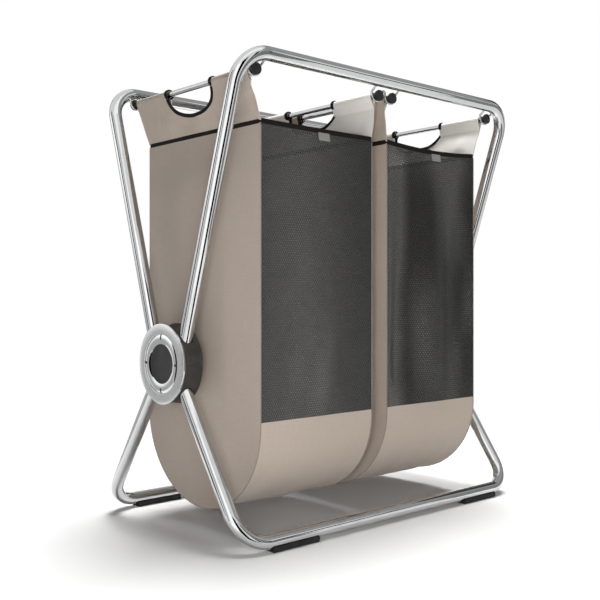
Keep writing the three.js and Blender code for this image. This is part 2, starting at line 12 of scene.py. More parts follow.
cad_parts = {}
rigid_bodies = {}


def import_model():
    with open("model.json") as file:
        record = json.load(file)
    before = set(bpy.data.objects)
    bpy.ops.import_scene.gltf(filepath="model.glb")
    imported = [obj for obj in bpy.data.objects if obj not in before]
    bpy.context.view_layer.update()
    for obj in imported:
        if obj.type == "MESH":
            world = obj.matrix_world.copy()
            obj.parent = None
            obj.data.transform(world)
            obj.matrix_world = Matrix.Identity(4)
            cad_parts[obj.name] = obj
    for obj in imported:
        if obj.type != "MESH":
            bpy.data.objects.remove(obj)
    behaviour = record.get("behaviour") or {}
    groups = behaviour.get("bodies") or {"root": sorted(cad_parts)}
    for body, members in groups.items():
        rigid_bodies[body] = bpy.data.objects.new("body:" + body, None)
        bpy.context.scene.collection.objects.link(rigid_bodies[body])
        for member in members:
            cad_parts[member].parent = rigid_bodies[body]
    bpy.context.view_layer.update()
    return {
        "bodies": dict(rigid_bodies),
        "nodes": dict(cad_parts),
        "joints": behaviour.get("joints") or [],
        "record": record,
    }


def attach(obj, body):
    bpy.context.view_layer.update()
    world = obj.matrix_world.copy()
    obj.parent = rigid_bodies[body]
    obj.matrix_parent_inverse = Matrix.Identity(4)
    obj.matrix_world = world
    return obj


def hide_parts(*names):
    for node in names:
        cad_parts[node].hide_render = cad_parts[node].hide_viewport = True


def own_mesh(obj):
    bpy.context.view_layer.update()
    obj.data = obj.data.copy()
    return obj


log = logging.getLogger("hamper")

TINY = 1e-6
HALF_TURN = math.pi
FULL_TURN = 2 * math.pi
UP = Vector((0, 0, 1))
REARWARD = Vector((0, 1, 0))
WHITE = (1, 1, 1, 1)
MERGE_DISTANCE = 0.00001
HARD_DEGREES = 35.0
BEVEL_DEGREES = 38.0
TAPE_DEGREES = 50.0
SOFT_DEGREES = 60.0

Amount = "Signal | float | Sequence[float]"
Colour = tuple[float, float, float, float]
Triple = tuple[float, float, float]
Pair = tuple[float, float]
Cells = tuple[int, int]
Place = Callable[[float, float], Vector]
Lay = Callable[[float, float], Pair]
Piece = bpy.types.Object
Choice = TypeVar("Choice")


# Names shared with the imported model

class Body(Enum):
    """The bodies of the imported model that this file's pieces ride on."""

    REAR = "rear_frame"
    FRONT = "front_frame"
    LEFT_BAG = "left_bag"
    RIGHT_BAG = "right_bag"
    LEFT_BUTTON = "left_button"
    RIGHT_BUTTON = "right_button"


class Slot(Enum):
    """The record's material slots."""

    CHROME = "chrome"
    SATIN = "satin_ring"
    STEEL = "steel"
    DARK = "dark_plastic"
    BLACK = "black_plastic"
    RUBBER = "pad_rubber"
    CANVAS = "canvas"
    PALE = "pale_canvas"
    NET = "mesh_net"
    TAPE = "black_tape"


class Side(Enum):
    """The two ends of the hamper, with the way each one lies along X."""

    LEFT = -1
    RIGHT = 1

    @property
    def word(self) -> str:
        """The side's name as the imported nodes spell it."""
        return self.name.lower()

    def pick(self, left: Choice, right: Choice) -> Choice:
        """The one of two values that belongs to this side."""
        return left if self is Side.LEFT else right

    @property
    def bag_body(self) -> Body:
        """The body that this side's bag rides on."""
        return self.pick(Body.LEFT_BAG, Body.RIGHT_BAG)

    @property
    def button_body(self) -> Body:
        """The body that this side's release button rides on."""
        return self.pick(Body.LEFT_BUTTON, Body.RIGHT_BUTTON)


class Edge(Enum):
    """The two long edges of a bag's mouth, each with its own rod."""

    OUTER = "outer"
    INNER = "inner"


class End(Enum):
    """The front and the rear of the hamper, with the way each one lies along Y."""

    FRONT = -1
    REAR = 1

    @property
    def word(self) -> str:
        """The end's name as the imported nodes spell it."""
        return self.name.lower()


# Shader maths

class Signal:
    """A changing shader value. Python's sums on it add Math nodes to its material."""

    def __init__(self, sheet: "NodeSheet", socket: bpy.types.NodeSocket) -> None:
        """Wrap one output of a sheet's node."""
        self.sheet = sheet
        self.socket = socket

    def __add__(self, other: Amount) -> "Signal":
        """This value plus another."""
        return self.sheet.math("ADD", self, other)

    def __mul__(self, other: Amount) -> "Signal":
        """This value times another."""
        return self.sheet.math("MULTIPLY", self, other)

    def __sub__(self, other: Amount) -> "Signal":
        """This value less another."""
        return self.sheet.math("SUBTRACT", self, other)

    def __rsub__(self, other: Amount) -> "Signal":
        """Another value less this one."""
        return self.sheet.math("SUBTRACT", other, self)

    def __truediv__(self, other: Amount) -> "Signal":
        """This value divided by another."""
        return self.sheet.math("DIVIDE", self, other)

    def __pow__(self, other: Amount) -> "Signal":
        """This value to a power."""
        return self.sheet.math("POWER", self, other)

    def part(self) -> "Signal":
        """What is left of this value above a whole number."""
        return self.sheet.math("FRACT", self)

    def size(self) -> "Signal":
        """This value without its sign."""
        return self.sheet.math("ABSOLUTE", self)

    def least(self, other: Amount) -> "Signal":
        """The lesser of this value and another."""
        return self.sheet.math("MINIMUM", self, other)

    def most(self, other: Amount) -> "Signal":
        """The greater of this value and another."""
        return self.sheet.math("MAXIMUM", self, other)

    def wave(self, pitch: float) -> "Signal":
        """A wave between -1 and 1 that repeats at a pitch."""
        return self.sheet.math("SINE", self * (FULL_TURN / pitch))

    def ribs(self, pitch: float) -> "Signal":
        """A wave between 0 and 1 that repeats at a pitch."""
        return self.wave(pitch) * 0.5 + 0.5

    def stepped(self, low: float, high: float) -> "Signal":
        """A smooth step from 0 where this value is low to 1 where it is high."""
        inputs = {"Value": self, "From Min": low, "From Max": high}
        return self.sheet.value("ShaderNodeMapRange", "Result", inputs, interpolation_type="SMOOTHSTEP")


class NodeSheet:
    """The node tree of one material, and the ways in which nodes are added to it."""

    def __init__(self, tree: bpy.types.NodeTree) -> None:
        """Start from an empty tree."""
        self.tree = tree
        self.tree.nodes.clear()

    def node(self, kind: str, inputs: dict[str | int, Amount], **settings: object) -> bpy.types.Node:
        """Add any node.

        Args:
            kind: The node's type.
            inputs: A value or a link for each named or numbered socket.
            settings: Its own settings, which are set first.

        Returns:
            The new node.
        """
        made = self.tree.nodes.new(kind)
        for name, value in settings.items():
            setattr(made, name, value)
        for name, value in inputs.items():
            if isinstance(value, Signal):
                self.tree.links.new(value.socket, made.inputs[name])
            else:
                made.inputs[name].default_value = value
        return made

    def value(
        self, kind: str, output: str | int, inputs: dict[str | int, Amount], **settings: object
    ) -> Signal:
        """Add any node and take its named or numbered output."""
        return Signal(self, self.node(kind, inputs, **settings).outputs[output])

    def math(self, operation: str, first: Amount, second: Amount = 0.0) -> Signal:
        """Add one Math node."""
        return self.value("ShaderNodeMath", 0, {0: first, 1: second}, operation=operation)

    def blend(self, share: Amount, low: Amount, high: Amount) -> Signal:
        """Mix two colours, where a share of 0 gives the first and 1 the second."""
        # A Mix node numbers its colour sockets after those for numbers and vectors
        first_colour, second_colour, mixed_colour = 6, 7, 2
        inputs = {0: share, first_colour: low, second_colour: high}
        return self.value("ShaderNodeMix", mixed_colour, inputs, data_type="RGBA")

    def place(self, scale: Sequence[float] = (1, 1, 1), shift: Sequence[float] = (0, 0, 0)) -> Signal:
        """The piece's own coordinates, in metres, scaled and moved."""
        own = self.value("ShaderNodeTexCoord", "Object", {})
        return self.value("ShaderNodeMapping", "Vector", {"Vector": own, "Scale": scale, "Location": shift})

    def axes(self, vector: Signal) -> tuple[Signal, Signal, Signal]:
        """The three parts of a vector."""
        split = self.node("ShaderNodeSeparateXYZ", {0: vector})
        return tuple(Signal(self, split.outputs[name]) for name in ("X", "Y", "Z"))

    def cloth_place(self) -> tuple[Signal, Signal]:
        """The two cloth coordinates from the piece's UV map, in metres along and up the cloth."""
        return self.axes(self.value("ShaderNodeTexCoord", "UV", {}))[:2]

    def joined(self, across: Amount, along: Amount) -> Signal:
        """A level vector from two values."""
        return self.value("ShaderNodeCombineXYZ", 0, {"X": across, "Y": along})

    def cloud(self, vector: Signal, scale: float, detail: float = 2.0, rough: float = 0.5) -> Signal:
        """Soft random variation between 0 and 1."""
        inputs = {"Vector": vector, "Scale": scale, "Detail": detail, "Roughness": rough}
        return self.value("ShaderNodeTexNoise", "Fac", inputs)

    def bump(self, height: Signal, depth: float) -> Signal:
        """A normal that follows a height, where a height of 1 is a depth in metres."""
        return self.value("ShaderNodeBump", "Normal", {"Height": height, "Distance": depth})

    def glow(self, strength: Amount) -> Signal:
        """A shader that gives plain white light."""
        return self.value("ShaderNodeEmission", 0, {"Color": WHITE, "Strength": strength})

    def show(self, shader: Signal, output: str = "ShaderNodeOutputMaterial") -> None:
        """Send a shader to the output of a material or of the world."""
        self.node(output, {"Surface": shader})

    def surface(self, inputs: dict[str | int, Amount]) -> None:
        """Let the principled shader give the material its look."""
        self.show(self.value("ShaderNodeBsdfPrincipled", 0, inputs))

    def seen_directly(self) -> Signal:
        """1 for what the camera sees directly, in metal or through glass, and 0 for other light."""
        path = self.node("ShaderNodeLightPath", {})
        seen = Signal(self, path.outputs["Is Camera Ray"])
        for name in ("Is Glossy Ray", "Is Transmission Ray"):
            seen = seen.most(Signal(self, path.outputs[name]))
        return seen


# Finishes

def colour(red: float, green: float, blue: float) -> Colour:
    """A linear colour with no transparency."""
    return (red, green, blue, 1.0)


def grey(tone: float) -> Colour:
    """A linear grey with no transparency."""
    return colour(tone, tone, tone)


def dimmed(tint: Colour, share: float) -> Colour:
    """A colour with a share of its light."""
    return colour(*(part * share for part in tint[:3]))


@dataclass(frozen=True)
class Finish:
    """A named finish that makes its material once."""

    name: str

    def material(self) -> bpy.types.Material:
        """The finish's material, made on first use."""
        found = bpy.data.materials.get(self.name)
        if found:
            return found
        made = bpy.data.materials.new(self.name)
        made.use_nodes = True
        self.paint(NodeSheet(made.node_tree))
        return made

    def paint(self, sheet: NodeSheet) -> None:
        """Fill the material's node tree. Each kind of finish has its own way."""
        raise NotImplementedError


@dataclass(frozen=True)
class PlatedMetal(Finish):
    """Polished or satin plated metal with faint handling marks."""

    tint: Colour = colour(0.6, 0.605, 0.61)
    roughness: float = 0.035
    roughness_spread: float = 0.04
    mark_scale: float = 60.0
    mark_detail: float = 5.0
    mark_rough: float = 0.6
    mark_range: Pair = (0.45, 0.75)
    mark_light: float = 0.93
    streak_scale: float = 840.0
    streak_squeeze: Triple = (1, 1, 0.08)
    streak_depth: float = 0.000004

    def paint(self, sheet: NodeSheet) -> None:
        """Fill the material's node tree."""
        marks = sheet.cloud(sheet.place(), self.mark_scale, self.mark_detail, self.mark_rough)
        streaks = sheet.cloud(sheet.place(self.streak_squeeze), self.streak_scale)
        worn = marks.stepped(*self.mark_range)
        sheet.surface({
            "Base Color": sheet.blend(worn, self.tint, dimmed(self.tint, self.mark_light)),
            "Metallic": 1.0,
            "Roughness": worn * self.roughness_spread + self.roughness,
            "Normal": sheet.bump(streaks, self.streak_depth),
        })


@dataclass(frozen=True)
class TurnedMetal(Finish):
    """A turned ring with fine lines that run round the hub's axis."""

    centre_z: float = 0.236
    tint: Colour = colour(0.7, 0.705, 0.71)
    roughness: float = 0.2
    roughness_spread: float = 0.06
    line_pitch: float = 0.0007
    line_depth: float = 0.000006
    line_share: float = 0.5
    grain_scale: float = 900.0
    haze_scale: float = 34.0
    haze_range: Pair = (0.35, 0.7)
    haze_light: float = 0.94
    detail: float = 3.0

    def paint(self, sheet: NodeSheet) -> None:
        """Fill the material's node tree."""
        _, along, up = sheet.axes(sheet.place(shift=(0, 0, -self.centre_z)))
        radius = (along * along + up * up) ** 0.5
        grain = sheet.cloud(sheet.joined(radius * self.grain_scale, 0.0), 1.0, self.detail)
        haze = sheet.cloud(sheet.place(), self.haze_scale, self.detail).stepped(*self.haze_range)
        lines = radius.ribs(self.line_pitch) * self.line_share
        sheet.surface({
            "Base Color": sheet.blend(haze, self.tint, dimmed(self.tint, self.haze_light)),
            "Metallic": 1.0,
            "Roughness": haze * self.roughness_spread + self.roughness,
            "Normal": sheet.bump(lines + grain, self.line_depth),
        })


@dataclass(frozen=True)
class MouldedPlastic(Finish):
    """Moulded plastic or rubber with a fine grain and slightly rubbed high places."""

    tint: Colour = colour(0.03, 0.027, 0.025)
    rubbed: Colour = colour(0.045, 0.041, 0.038)
    roughness: float = 0.48
    specular: float = 0.35
    grain_scale: float = 1400.0
    grain_depth: float = 0.00003
    grain_roughness: float = 0.1
    patch_scale: float = 46.0
    patch_detail: float = 4.0
    patch_range: Pair = (0.4, 0.72)
    patch_roughness: float = -0.08

    def paint(self, sheet: NodeSheet) -> None:
        """Fill the material's node tree."""
        grain = sheet.cloud(sheet.place(), self.grain_scale)
        patches = sheet.cloud(sheet.place(), self.patch_scale, self.patch_detail).stepped(*self.patch_range)
        uneven = patches * self.patch_roughness + grain * self.grain_roughness
        sheet.surface({
            "Base Color": sheet.blend(patches, self.tint, self.rubbed),
            "Roughness": uneven + self.roughness,
            "Specular IOR Level": self.specular,
            "Normal": sheet.bump(grain, self.grain_depth),
        })


@dataclass(frozen=True)
class PlainWeave(Finish):
    """Woven cloth: two sets of crossing threads with slubs, on the cloth's own coordinates."""

    tint: Colour = colour(0.435, 0.37, 0.315)
    shade: Colour = colour(0.365, 0.306, 0.257)
    pitch: float = 0.0011
    depth: float = 0.00012
    roughness: float = 0.89
    roughness_spread: float = 0.06
    sheen: float = 0.12
    sheen_roughness: float = 0.5
    specular: float = 0.25
    slub_thin: float = 900.0
    slub_long: float = 40.0
    patch_scale: float = 9.0
    patch_detail: float = 4.0
    tone_shares: Triple = (0.9, 0.25, 0.35)
    tone_range: Pair = (0.35, 1.2)
    height_shares: Pair = (0.6, 0.8)

    def paint(self, sheet: NodeSheet) -> None:
        """Fill the material's node tree."""
        across, up = sheet.cloth_place()
        weave = (across.wave(self.pitch) * up.wave(self.pitch)) * 0.5 + 0.5
        slub_up = sheet.cloud(sheet.joined(across * self.slub_thin, up * self.slub_long), 1.0)
        slub_across = sheet.cloud(sheet.joined(across * self.slub_long, up * self.slub_thin), 1.0)
        slubs = slub_up * 0.5 + slub_across * 0.5
        patches = sheet.cloud(sheet.place(), self.patch_scale, self.patch_detail)
        slub_tone, weave_tone, patch_tone = self.tone_shares
        tone = (slubs * slub_tone + weave * weave_tone + patches * patch_tone).stepped(*self.tone_range)
        weave_height, slub_height = self.height_shares
        sheet.surface({
            "Base Color": sheet.blend(tone, self.shade, self.tint),
            "Roughness": patches * self.roughness_spread + self.roughness,
            "Sheen Weight": self.sheen,
            "Sheen Roughness": self.sheen_roughness,
            "Specular IOR Level": self.specular,
            "Normal": sheet.bump(weave * weave_height + slubs * slub_height, self.depth),
        })


@dataclass(frozen=True)
class FoldBand:
    """A soft band of painted sheen where a fold of the cloth would turn towards the light, in metres on the
    cloth.
    """

    across: float
    half_width: float
    lean: float
    low: float
    high: float
    strength: float
    fade: float = 0.06

    def light(self, across: Signal, up: Signal) -> Signal:
        """How much painted sheen the band gives a place of the cloth.

        Args:
            across: The place along the cloth.
            up: The place up the cloth.

        Returns:
            The painted light, from 0 to the band's strength.
        """
        from_middle = (across - self.across - up * self.lean).size()
        near = 1.0 - from_middle.stepped(0.0, self.half_width)
        above = up.stepped(self.low - self.fade, self.low + self.fade)
        below = 1.0 - up.stepped(self.high - self.fade, self.high + self.fade)
        return near * above * below * self.strength


@dataclass(frozen=True)
class HoleNet(Finish):
    """Knitted net with round holes in a staggered grid, on the cloth's own coordinates, with painted shade
    and bands of painted sheen in its colour and its holes.
    """

    thread: Colour = colour(0.037, 0.037, 0.0355)
    thread_light: Colour = colour(0.075, 0.075, 0.072)
    pitch: float = 0.0038
    hole_radius: float = 0.00086
    hole_softness: float = 0.0003
    ridge_share: float = 0.58
    depth: float = 0.0004
    roughness: float = 0.4
    roughness_spread: float = 0.1
    specular: float = 0.45
    patch_scale: float = 26.0
    patch_detail: float = 3.0
    tone_shares: Pair = (0.6, 0.5)
    tone_range: Pair = (0.2, 0.9)
    # Painted shade level of the threads away from the bands, and bands of painted sheen where folds would
    # catch the light
    dark_share: float = 0.28
    sheen_bands: tuple[FoldBand, ...] = (
        FoldBand(0.07, 0.14, 0.0, -0.2, 0.6, 0.55), FoldBand(0.11, 0.03, 0.1, 0.0, 0.12, 0.3))
    sheen_wander: float = 0.05
    wander_scale: Triple = (7.0, 7.0, 4.0)
    least_cover: float = 0.2
    # How far the holes are filled in where the painted shade is deeper
    dark_cover: float = 0.45
    seam_start: float = 0.0042
    seam_end: float = 0.2088
    seam_softness: float = 0.0004
    seam_darkening: float = 0.8

    def paint(self, sheet: NodeSheet) -> None:
        """Fill the material's node tree."""
        across, up = sheet.cloth_place()
        nearest = self._from_holes(across, up, 0.0).least(self._from_holes(across, up, 0.5))
        solid = nearest.stepped(self.hole_radius - self.hole_softness, self.hole_radius + self.hole_softness)
        ridge = nearest.stepped(self.hole_radius, self.pitch * self.ridge_share)
        patches = sheet.cloud(sheet.place(), self.patch_scale, self.patch_detail)
        after_start = across.stepped(self.seam_start - self.seam_softness, self.seam_start)
        before_end = 1.0 - across.stepped(self.seam_end, self.seam_end + self.seam_softness)
        seam = 1.0 - after_start * before_end
        ridge_tone, patch_tone = self.tone_shares
        tone = (ridge * ridge_tone + patches * patch_tone).stepped(*self.tone_range)
        thread = sheet.blend(tone * (1.0 - seam * self.seam_darkening), self.thread, self.thread_light)
        # Painted light: the thread colour is darkened to a painted shade level, lightened in bands of painted
        # sheen, and the holes are partly filled where the painted shade is deeper
        wander = sheet.cloud(sheet.place(self.wander_scale), 1.0) * self.sheen_wander - self.sheen_wander / 2
        light = self.dark_share
        for band in self.sheen_bands:
            light = band.light(across + wander, up) + light
        cover = (1.0 - light.least(1.0)) * self.dark_cover + self.least_cover
        sheet.surface({
            "Base Color": sheet.blend(light, grey(0), thread),
            "Roughness": patches * self.roughness_spread + self.roughness,
            "Specular IOR Level": self.specular,
            "Alpha": (solid * (1 - cover) + cover).most(seam),
            "Normal": sheet.bump(ridge, self.depth),
        })

    def _from_holes(self, across: Signal, up: Signal, shift: float) -> Signal:
        """How far a place is from the nearest hole of one of the two grids, in metres.

        Args:
            across: The place along the cloth.
            up: The place up the cloth.
            shift: How far this grid is moved, as a share of a cell.

        Returns:
            The distance.
        """
        tall = self.pitch * math.sqrt(3)
        side_way = ((across / self.pitch + shift).part() - 0.5) * self.pitch
        up_way = ((up / tall + shift).part() - 0.5) * tall
        return (side_way * side_way + up_way * up_way) ** 0.5


@dataclass(frozen=True)
class RibbedTape(Finish):
    """Woven edging tape with ribs across it and a row of stitches near its edges."""

    tint: Colour = colour(0.006, 0.005, 0.0045)
    rib_light: Colour = colour(0.016, 0.013, 0.012)
    rib_pitch: float = 0.0012
    depth: float = 0.00015
    roughness: float = 0.85
    roughness_spread: float = 0.1
    specular: float = 0.15
    fuzz_scale: float = 1500.0
    stitch_place: float = 0.0022
    stitch_half_width: float = 0.0002
    stitch_softness: float = 0.00025
    stitch_pitch: float = 0.0036
    stitch_gap: Pair = (0.25, 0.35)
    tone_shares: Triple = (0.5, 0.6, 0.5)
    tone_range: Pair = (0.2, 1.2)
    height_shares: Pair = (0.5, 0.3)

    def paint(self, sheet: NodeSheet) -> None:
        """Fill the material's node tree."""
        across, along = sheet.cloth_place()
        ribs = along.ribs(self.rib_pitch)
        fuzz = sheet.cloud(sheet.place(), self.fuzz_scale)
        from_line = (across - self.stitch_place).size() - self.stitch_half_width
        dash = (along / self.stitch_pitch).part().stepped(*self.stitch_gap)
        stitch = (1.0 - from_line.stepped(0.0, self.stitch_softness)) * dash
        rib_tone, fuzz_tone, stitch_tone = self.tone_shares
        tone = (ribs * rib_tone + fuzz * fuzz_tone + stitch * stitch_tone).stepped(*self.tone_range)
        rib_height, fuzz_height = self.height_shares
        sheet.surface({
            "Base Color": sheet.blend(tone, self.tint, self.rib_light),
            "Roughness": fuzz * self.roughness_spread + self.roughness,
            "Specular IOR Level": self.specular,
            "Normal": sheet.bump(ribs * rib_height + fuzz * fuzz_height + stitch, self.depth),
        })


@dataclass(frozen=True)
class SatinLabel(Finish):
    """A bare satin label, lighter along its lower edge."""

    tint: Colour = grey(0.17)
    edge: Colour = grey(0.4)
    edge_range: Pair = (0.0075, 0.0083)
    roughness: float = 0.4
    roughness_spread: float = 0.08
    rib_pitch: float = 0.0006
    depth: float = 0.00003
    patch_scale: float = 160.0
    patch_detail: float = 3.0
    patch_share: float = 0.3

    def paint(self, sheet: NodeSheet) -> None:
        """Fill the material's node tree."""
        _, down = sheet.cloth_place()
        ribs = down.ribs(self.rib_pitch)
        patches = sheet.cloud(sheet.place(), self.patch_scale, self.patch_detail)
        light = (patches * self.patch_share + down.stepped(*self.edge_range)).least(1.0)
        sheet.surface({
            "Base Color": sheet.blend(light, self.tint, self.edge),
            "Roughness": ribs * self.roughness_spread + self.roughness,
            "Normal": sheet.bump(ribs, self.depth),
        })


@dataclass(frozen=True)
class FloorPaper(Finish):
    """Pale floor paper that keeps the shadow and turns white further away."""

    tint: Colour = grey(0.84)
    white_range: Pair = (0.42, 1.05)

    def paint(self, sheet: NodeSheet) -> None:
        """Fill the material's node tree."""
        x, y, _ = sheet.axes(sheet.place())
        far = ((x * x + y * y) ** 0.5).stepped(*self.white_range)
        paper = sheet.value("ShaderNodeBsdfDiffuse", 0, {"Color": self.tint})
        inputs = {0: sheet.seen_directly() * far, 1: paper, 2: sheet.glow(1.0)}
        sheet.show(sheet.value("ShaderNodeMixShader", 0, inputs))


@dataclass(frozen=True)
class GlossCard(Finish):
    """The plain glow of a studio card, with a tone that changes with height."""

    foot_tone: float
    head_tone: float
    foot_z: float
    head_z: float

    def paint(self, sheet: NodeSheet) -> None:
        """Fill the material's node tree."""
        _, _, z = sheet.axes(sheet.place())
        height = z.stepped(self.foot_z, self.head_z)
        sheet.show(sheet.glow(height * (self.head_tone - self.foot_tone) + self.foot_tone))


CHROME = PlatedMetal("chrome_plate")
WIRE = PlatedMetal("chrome_wire", roughness=0.1)
ROD_METAL = PlatedMetal("rod_plate", colour(0.58, 0.585, 0.59), 0.12)
STEEL = PlatedMetal("plain_steel", colour(0.55, 0.55, 0.54), 0.3)
RIM = PlatedMetal("polished_rim", colour(0.68, 0.685, 0.69), 0.08)
SATIN = TurnedMetal("satin_turned")
DARK_PLASTIC = MouldedPlastic("dark_moulding")
BUTTON_PLASTIC = MouldedPlastic("button_moulding", grey(0.02), grey(0.027), 0.55)
BLACK_PLASTIC = MouldedPlastic("black_moulding", grey(0.012), grey(0.02), 0.4)
RUBBER = MouldedPlastic("pad_rubber_finish", grey(0.009), grey(0.016), 0.72)
CANVAS = PlainWeave("canvas_outside")
LINING = PlainWeave("canvas_inside", colour(0.78, 0.75, 0.71), colour(0.7, 0.67, 0.63), 0.0012)
PIPING = PlainWeave("seam_piping", colour(0.3, 0.255, 0.22), colour(0.22, 0.187, 0.16), 0.0008)
# Both nets have painted shade with bands of painted sheen; the right one is painted darker, with more bands
NETS = {
    Side.LEFT: HoleNet("dark_net"),
    Side.RIGHT: HoleNet(
        "dark_folded_net", specular=0.32, dark_share=0.1, dark_cover=0.34, sheen_bands=(
            FoldBand(0.012, 0.045, 0.0, -0.2, 0.6, 1.35),
            FoldBand(0.175, 0.06, -0.08, 0.24, 0.6, 0.9),
            FoldBand(0.1, 0.3, 0.0, 0.38, 0.8, 0.5),
            FoldBand(0.1, 0.045, -0.12, 0.03, 0.18, 0.5),
            FoldBand(0.205, 0.03, 0.0, 0.12, 0.2, 0.5),
            FoldBand(0.16, 0.035, 0.1, -0.1, 0.1, 0.3))),
}
TAPE = RibbedTape("black_edging")
LABEL = SatinLabel("bare_label")


# The workbench: Blender's operators, used on one piece at a time

class Bench:
    """Ways to start, shape and finish one piece with Blender's own operators."""

    @staticmethod
    def leave() -> None:
        """Go back to object mode."""
        bpy.ops.object.mode_set(mode="OBJECT")

    @staticmethod
    def clear() -> None:
        """Leave edit mode with nothing selected."""
        if bpy.context.object and bpy.context.object.mode != "OBJECT":
            Bench.leave()
        bpy.ops.object.select_all(action="DESELECT")

    @staticmethod
    def take(piece: Piece) -> None:
        """Select one piece alone and make it active."""
        Bench.clear()
        piece.select_set(True)
        bpy.context.view_layer.objects.active = piece

    @staticmethod
    def named(piece: Piece, name: str) -> Piece:
        """Give a piece and its mesh one name."""
        piece.name = name
        piece.data.name = name
        return piece

    @staticmethod
    def started(name: str) -> Piece:
        """Name the primitive that was just added, and settle its place into its mesh."""
        bpy.ops.object.transform_apply(location=True, rotation=True, scale=True)
        return Bench.named(bpy.context.object, name)

    @staticmethod
    def edit(piece: Piece) -> None:
        """Enter edit mode on a piece, with all of it selected."""
        Bench.take(piece)
        bpy.ops.object.mode_set(mode="EDIT")
        bpy.ops.mesh.select_all(action="SELECT")

    @staticmethod
    def flip(piece: Piece) -> None:
        """Turn all faces over."""
        Bench.edit(piece)
        bpy.ops.mesh.flip_normals()
        Bench.leave()

    @staticmethod
    def push(way: Vector) -> None:
        """Extrude what is selected by a distance."""
        bpy.ops.mesh.extrude_region_move(TRANSFORM_OT_translate={"value": way})

    @staticmethod
    def seal(piece: Piece, merge: float = MERGE_DISTANCE) -> None:
        """Merge doubles, fill open ends and point all faces out.

        Args:
            piece: The piece to close.
            merge: How near two points are to be one.
        """
        Bench.edit(piece)
        bpy.ops.mesh.remove_doubles(threshold=merge)
        bpy.ops.mesh.delete_loose()
        bpy.ops.mesh.select_all(action="DESELECT")
        bpy.ops.mesh.select_non_manifold()
        bpy.ops.mesh.fill_holes(sides=0)
        bpy.ops.mesh.select_all(action="SELECT")
        bpy.ops.mesh.normals_make_consistent(inside=False)
        Bench.leave()

    @staticmethod
    def smooth(piece: Piece, degrees: float = HARD_DEGREES) -> None:
        """Shade the piece smooth except over edges sharper than an angle."""
        Bench.take(piece)
        bpy.ops.object.shade_smooth_by_angle(angle=math.radians(degrees))
        Bench.clear()

    @staticmethod
    def modify(piece: Piece, kind: str, **settings: object) -> None:
        """Add one modifier with its settings and apply it.

        Args:
            piece: The piece that it changes.
            kind: The modifier's type.
            settings: The modifier's own settings.
        """
        Bench.take(piece)
        modifier = piece.modifiers.new(kind.title(), kind)
        for name, value in settings.items():
            setattr(modifier, name, value)
        bpy.ops.object.modifier_apply(modifier=modifier.name)
        Bench.clear()

    @staticmethod
    def round_edges(piece: Piece, width: float, segments: int = 3) -> None:
        """Round the piece's sharp edges."""
        Bench.modify(
            piece, "BEVEL", width=width, segments=segments, limit_method="ANGLE",
            angle_limit=math.radians(BEVEL_DEGREES), harden_normals=False)

    @staticmethod
    def cut(piece: Piece, *tools: Piece, operation: str = "DIFFERENCE") -> None:
        """Cut a solid with others in turn, or join them, and remove the tools.

        Args:
            piece: The solid that stays.
            tools: The other solids.
            operation: What the Boolean modifier does with each.
        """
        for tool in tools:
            Bench.modify(piece, "BOOLEAN", object=tool, operation=operation, solver="MANIFOLD")
            bpy.data.objects.remove(tool, do_unlink=True)

    @staticmethod
    def join(pieces: Sequence[Piece], name: str) -> Piece:
        """Join several meshes into the first one.

        Args:
            pieces: The meshes.
            name: The joined piece's name.

        Returns:
            The joined piece.
        """
        Bench.clear()
        for piece in pieces:
            piece.select_set(True)
        bpy.context.view_layer.objects.active = pieces[0]
        bpy.ops.object.join()
        return Bench.named(pieces[0], name)


def dress(piece: Piece, *finishes: Finish) -> Piece:
    """Give a piece its finishes, in the order of its material slots.

    Args:
        piece: The piece.
        finishes: A finish for each slot.

    Returns:
        The same piece.
    """
    piece.data.materials.clear()
    for finish in finishes:
        piece.data.materials.append(finish.material())
    return piece


def bend_pipe(
    name: str,
    corners: Sequence[Vector],
    radii: Sequence[float],
    radius: float,
    sides: int,
    bend_steps: int,
    finish: Finish,
) -> Piece:
    """Bend a round pipe or wire along straight runs with rounded corners.

    Args:
        name: The piece's name.
        corners: The start, each corner and the end of the centre line.
        radii: The bend radius at each corner between the two ends.
        radius: The pipe's own radius.
        sides: The number of sides of its section.
        bend_steps: The number of steps round each bend.
        finish: The pipe's finish.

    Returns:
        The closed pipe.
    """
    place = corners[0].copy()
    heading = (corners[1] - place).normalized()
    Bench.clear()
    bpy.ops.mesh.primitive_circle_add(
        vertices=sides, radius=radius, location=place, rotation=heading.to_track_quat("Z", "X").to_euler())
    pipe = Bench.started(name)
    Bench.edit(pipe)
    for at, bend in enumerate(radii, start=1):
        corner = corners[at]
        before = (corner - corners[at - 1]).normalized()
        after = (corners[at + 1] - corner).normalized()
        turn = before.angle(after)
        back = bend * math.tan(turn / 2)
        start = corner - before * back
        if (start - place).length > TINY:
            Bench.push(start - place)
        centre = start + (after - before * after.dot(before)).normalized() * bend
        axis = before.cross(after).normalized()
        # Blender's spin turns against the right-hand rule
        bpy.ops.mesh.spin(steps=bend_steps, angle=-turn, center=centre, axis=axis)
        place = corner + after * back
    if (corners[-1] - place).length > TINY:
        Bench.push(corners[-1] - place)
    Bench.leave()
    Bench.seal(pipe)
    Bench.smooth(pipe)
    return dress(pipe, finish)


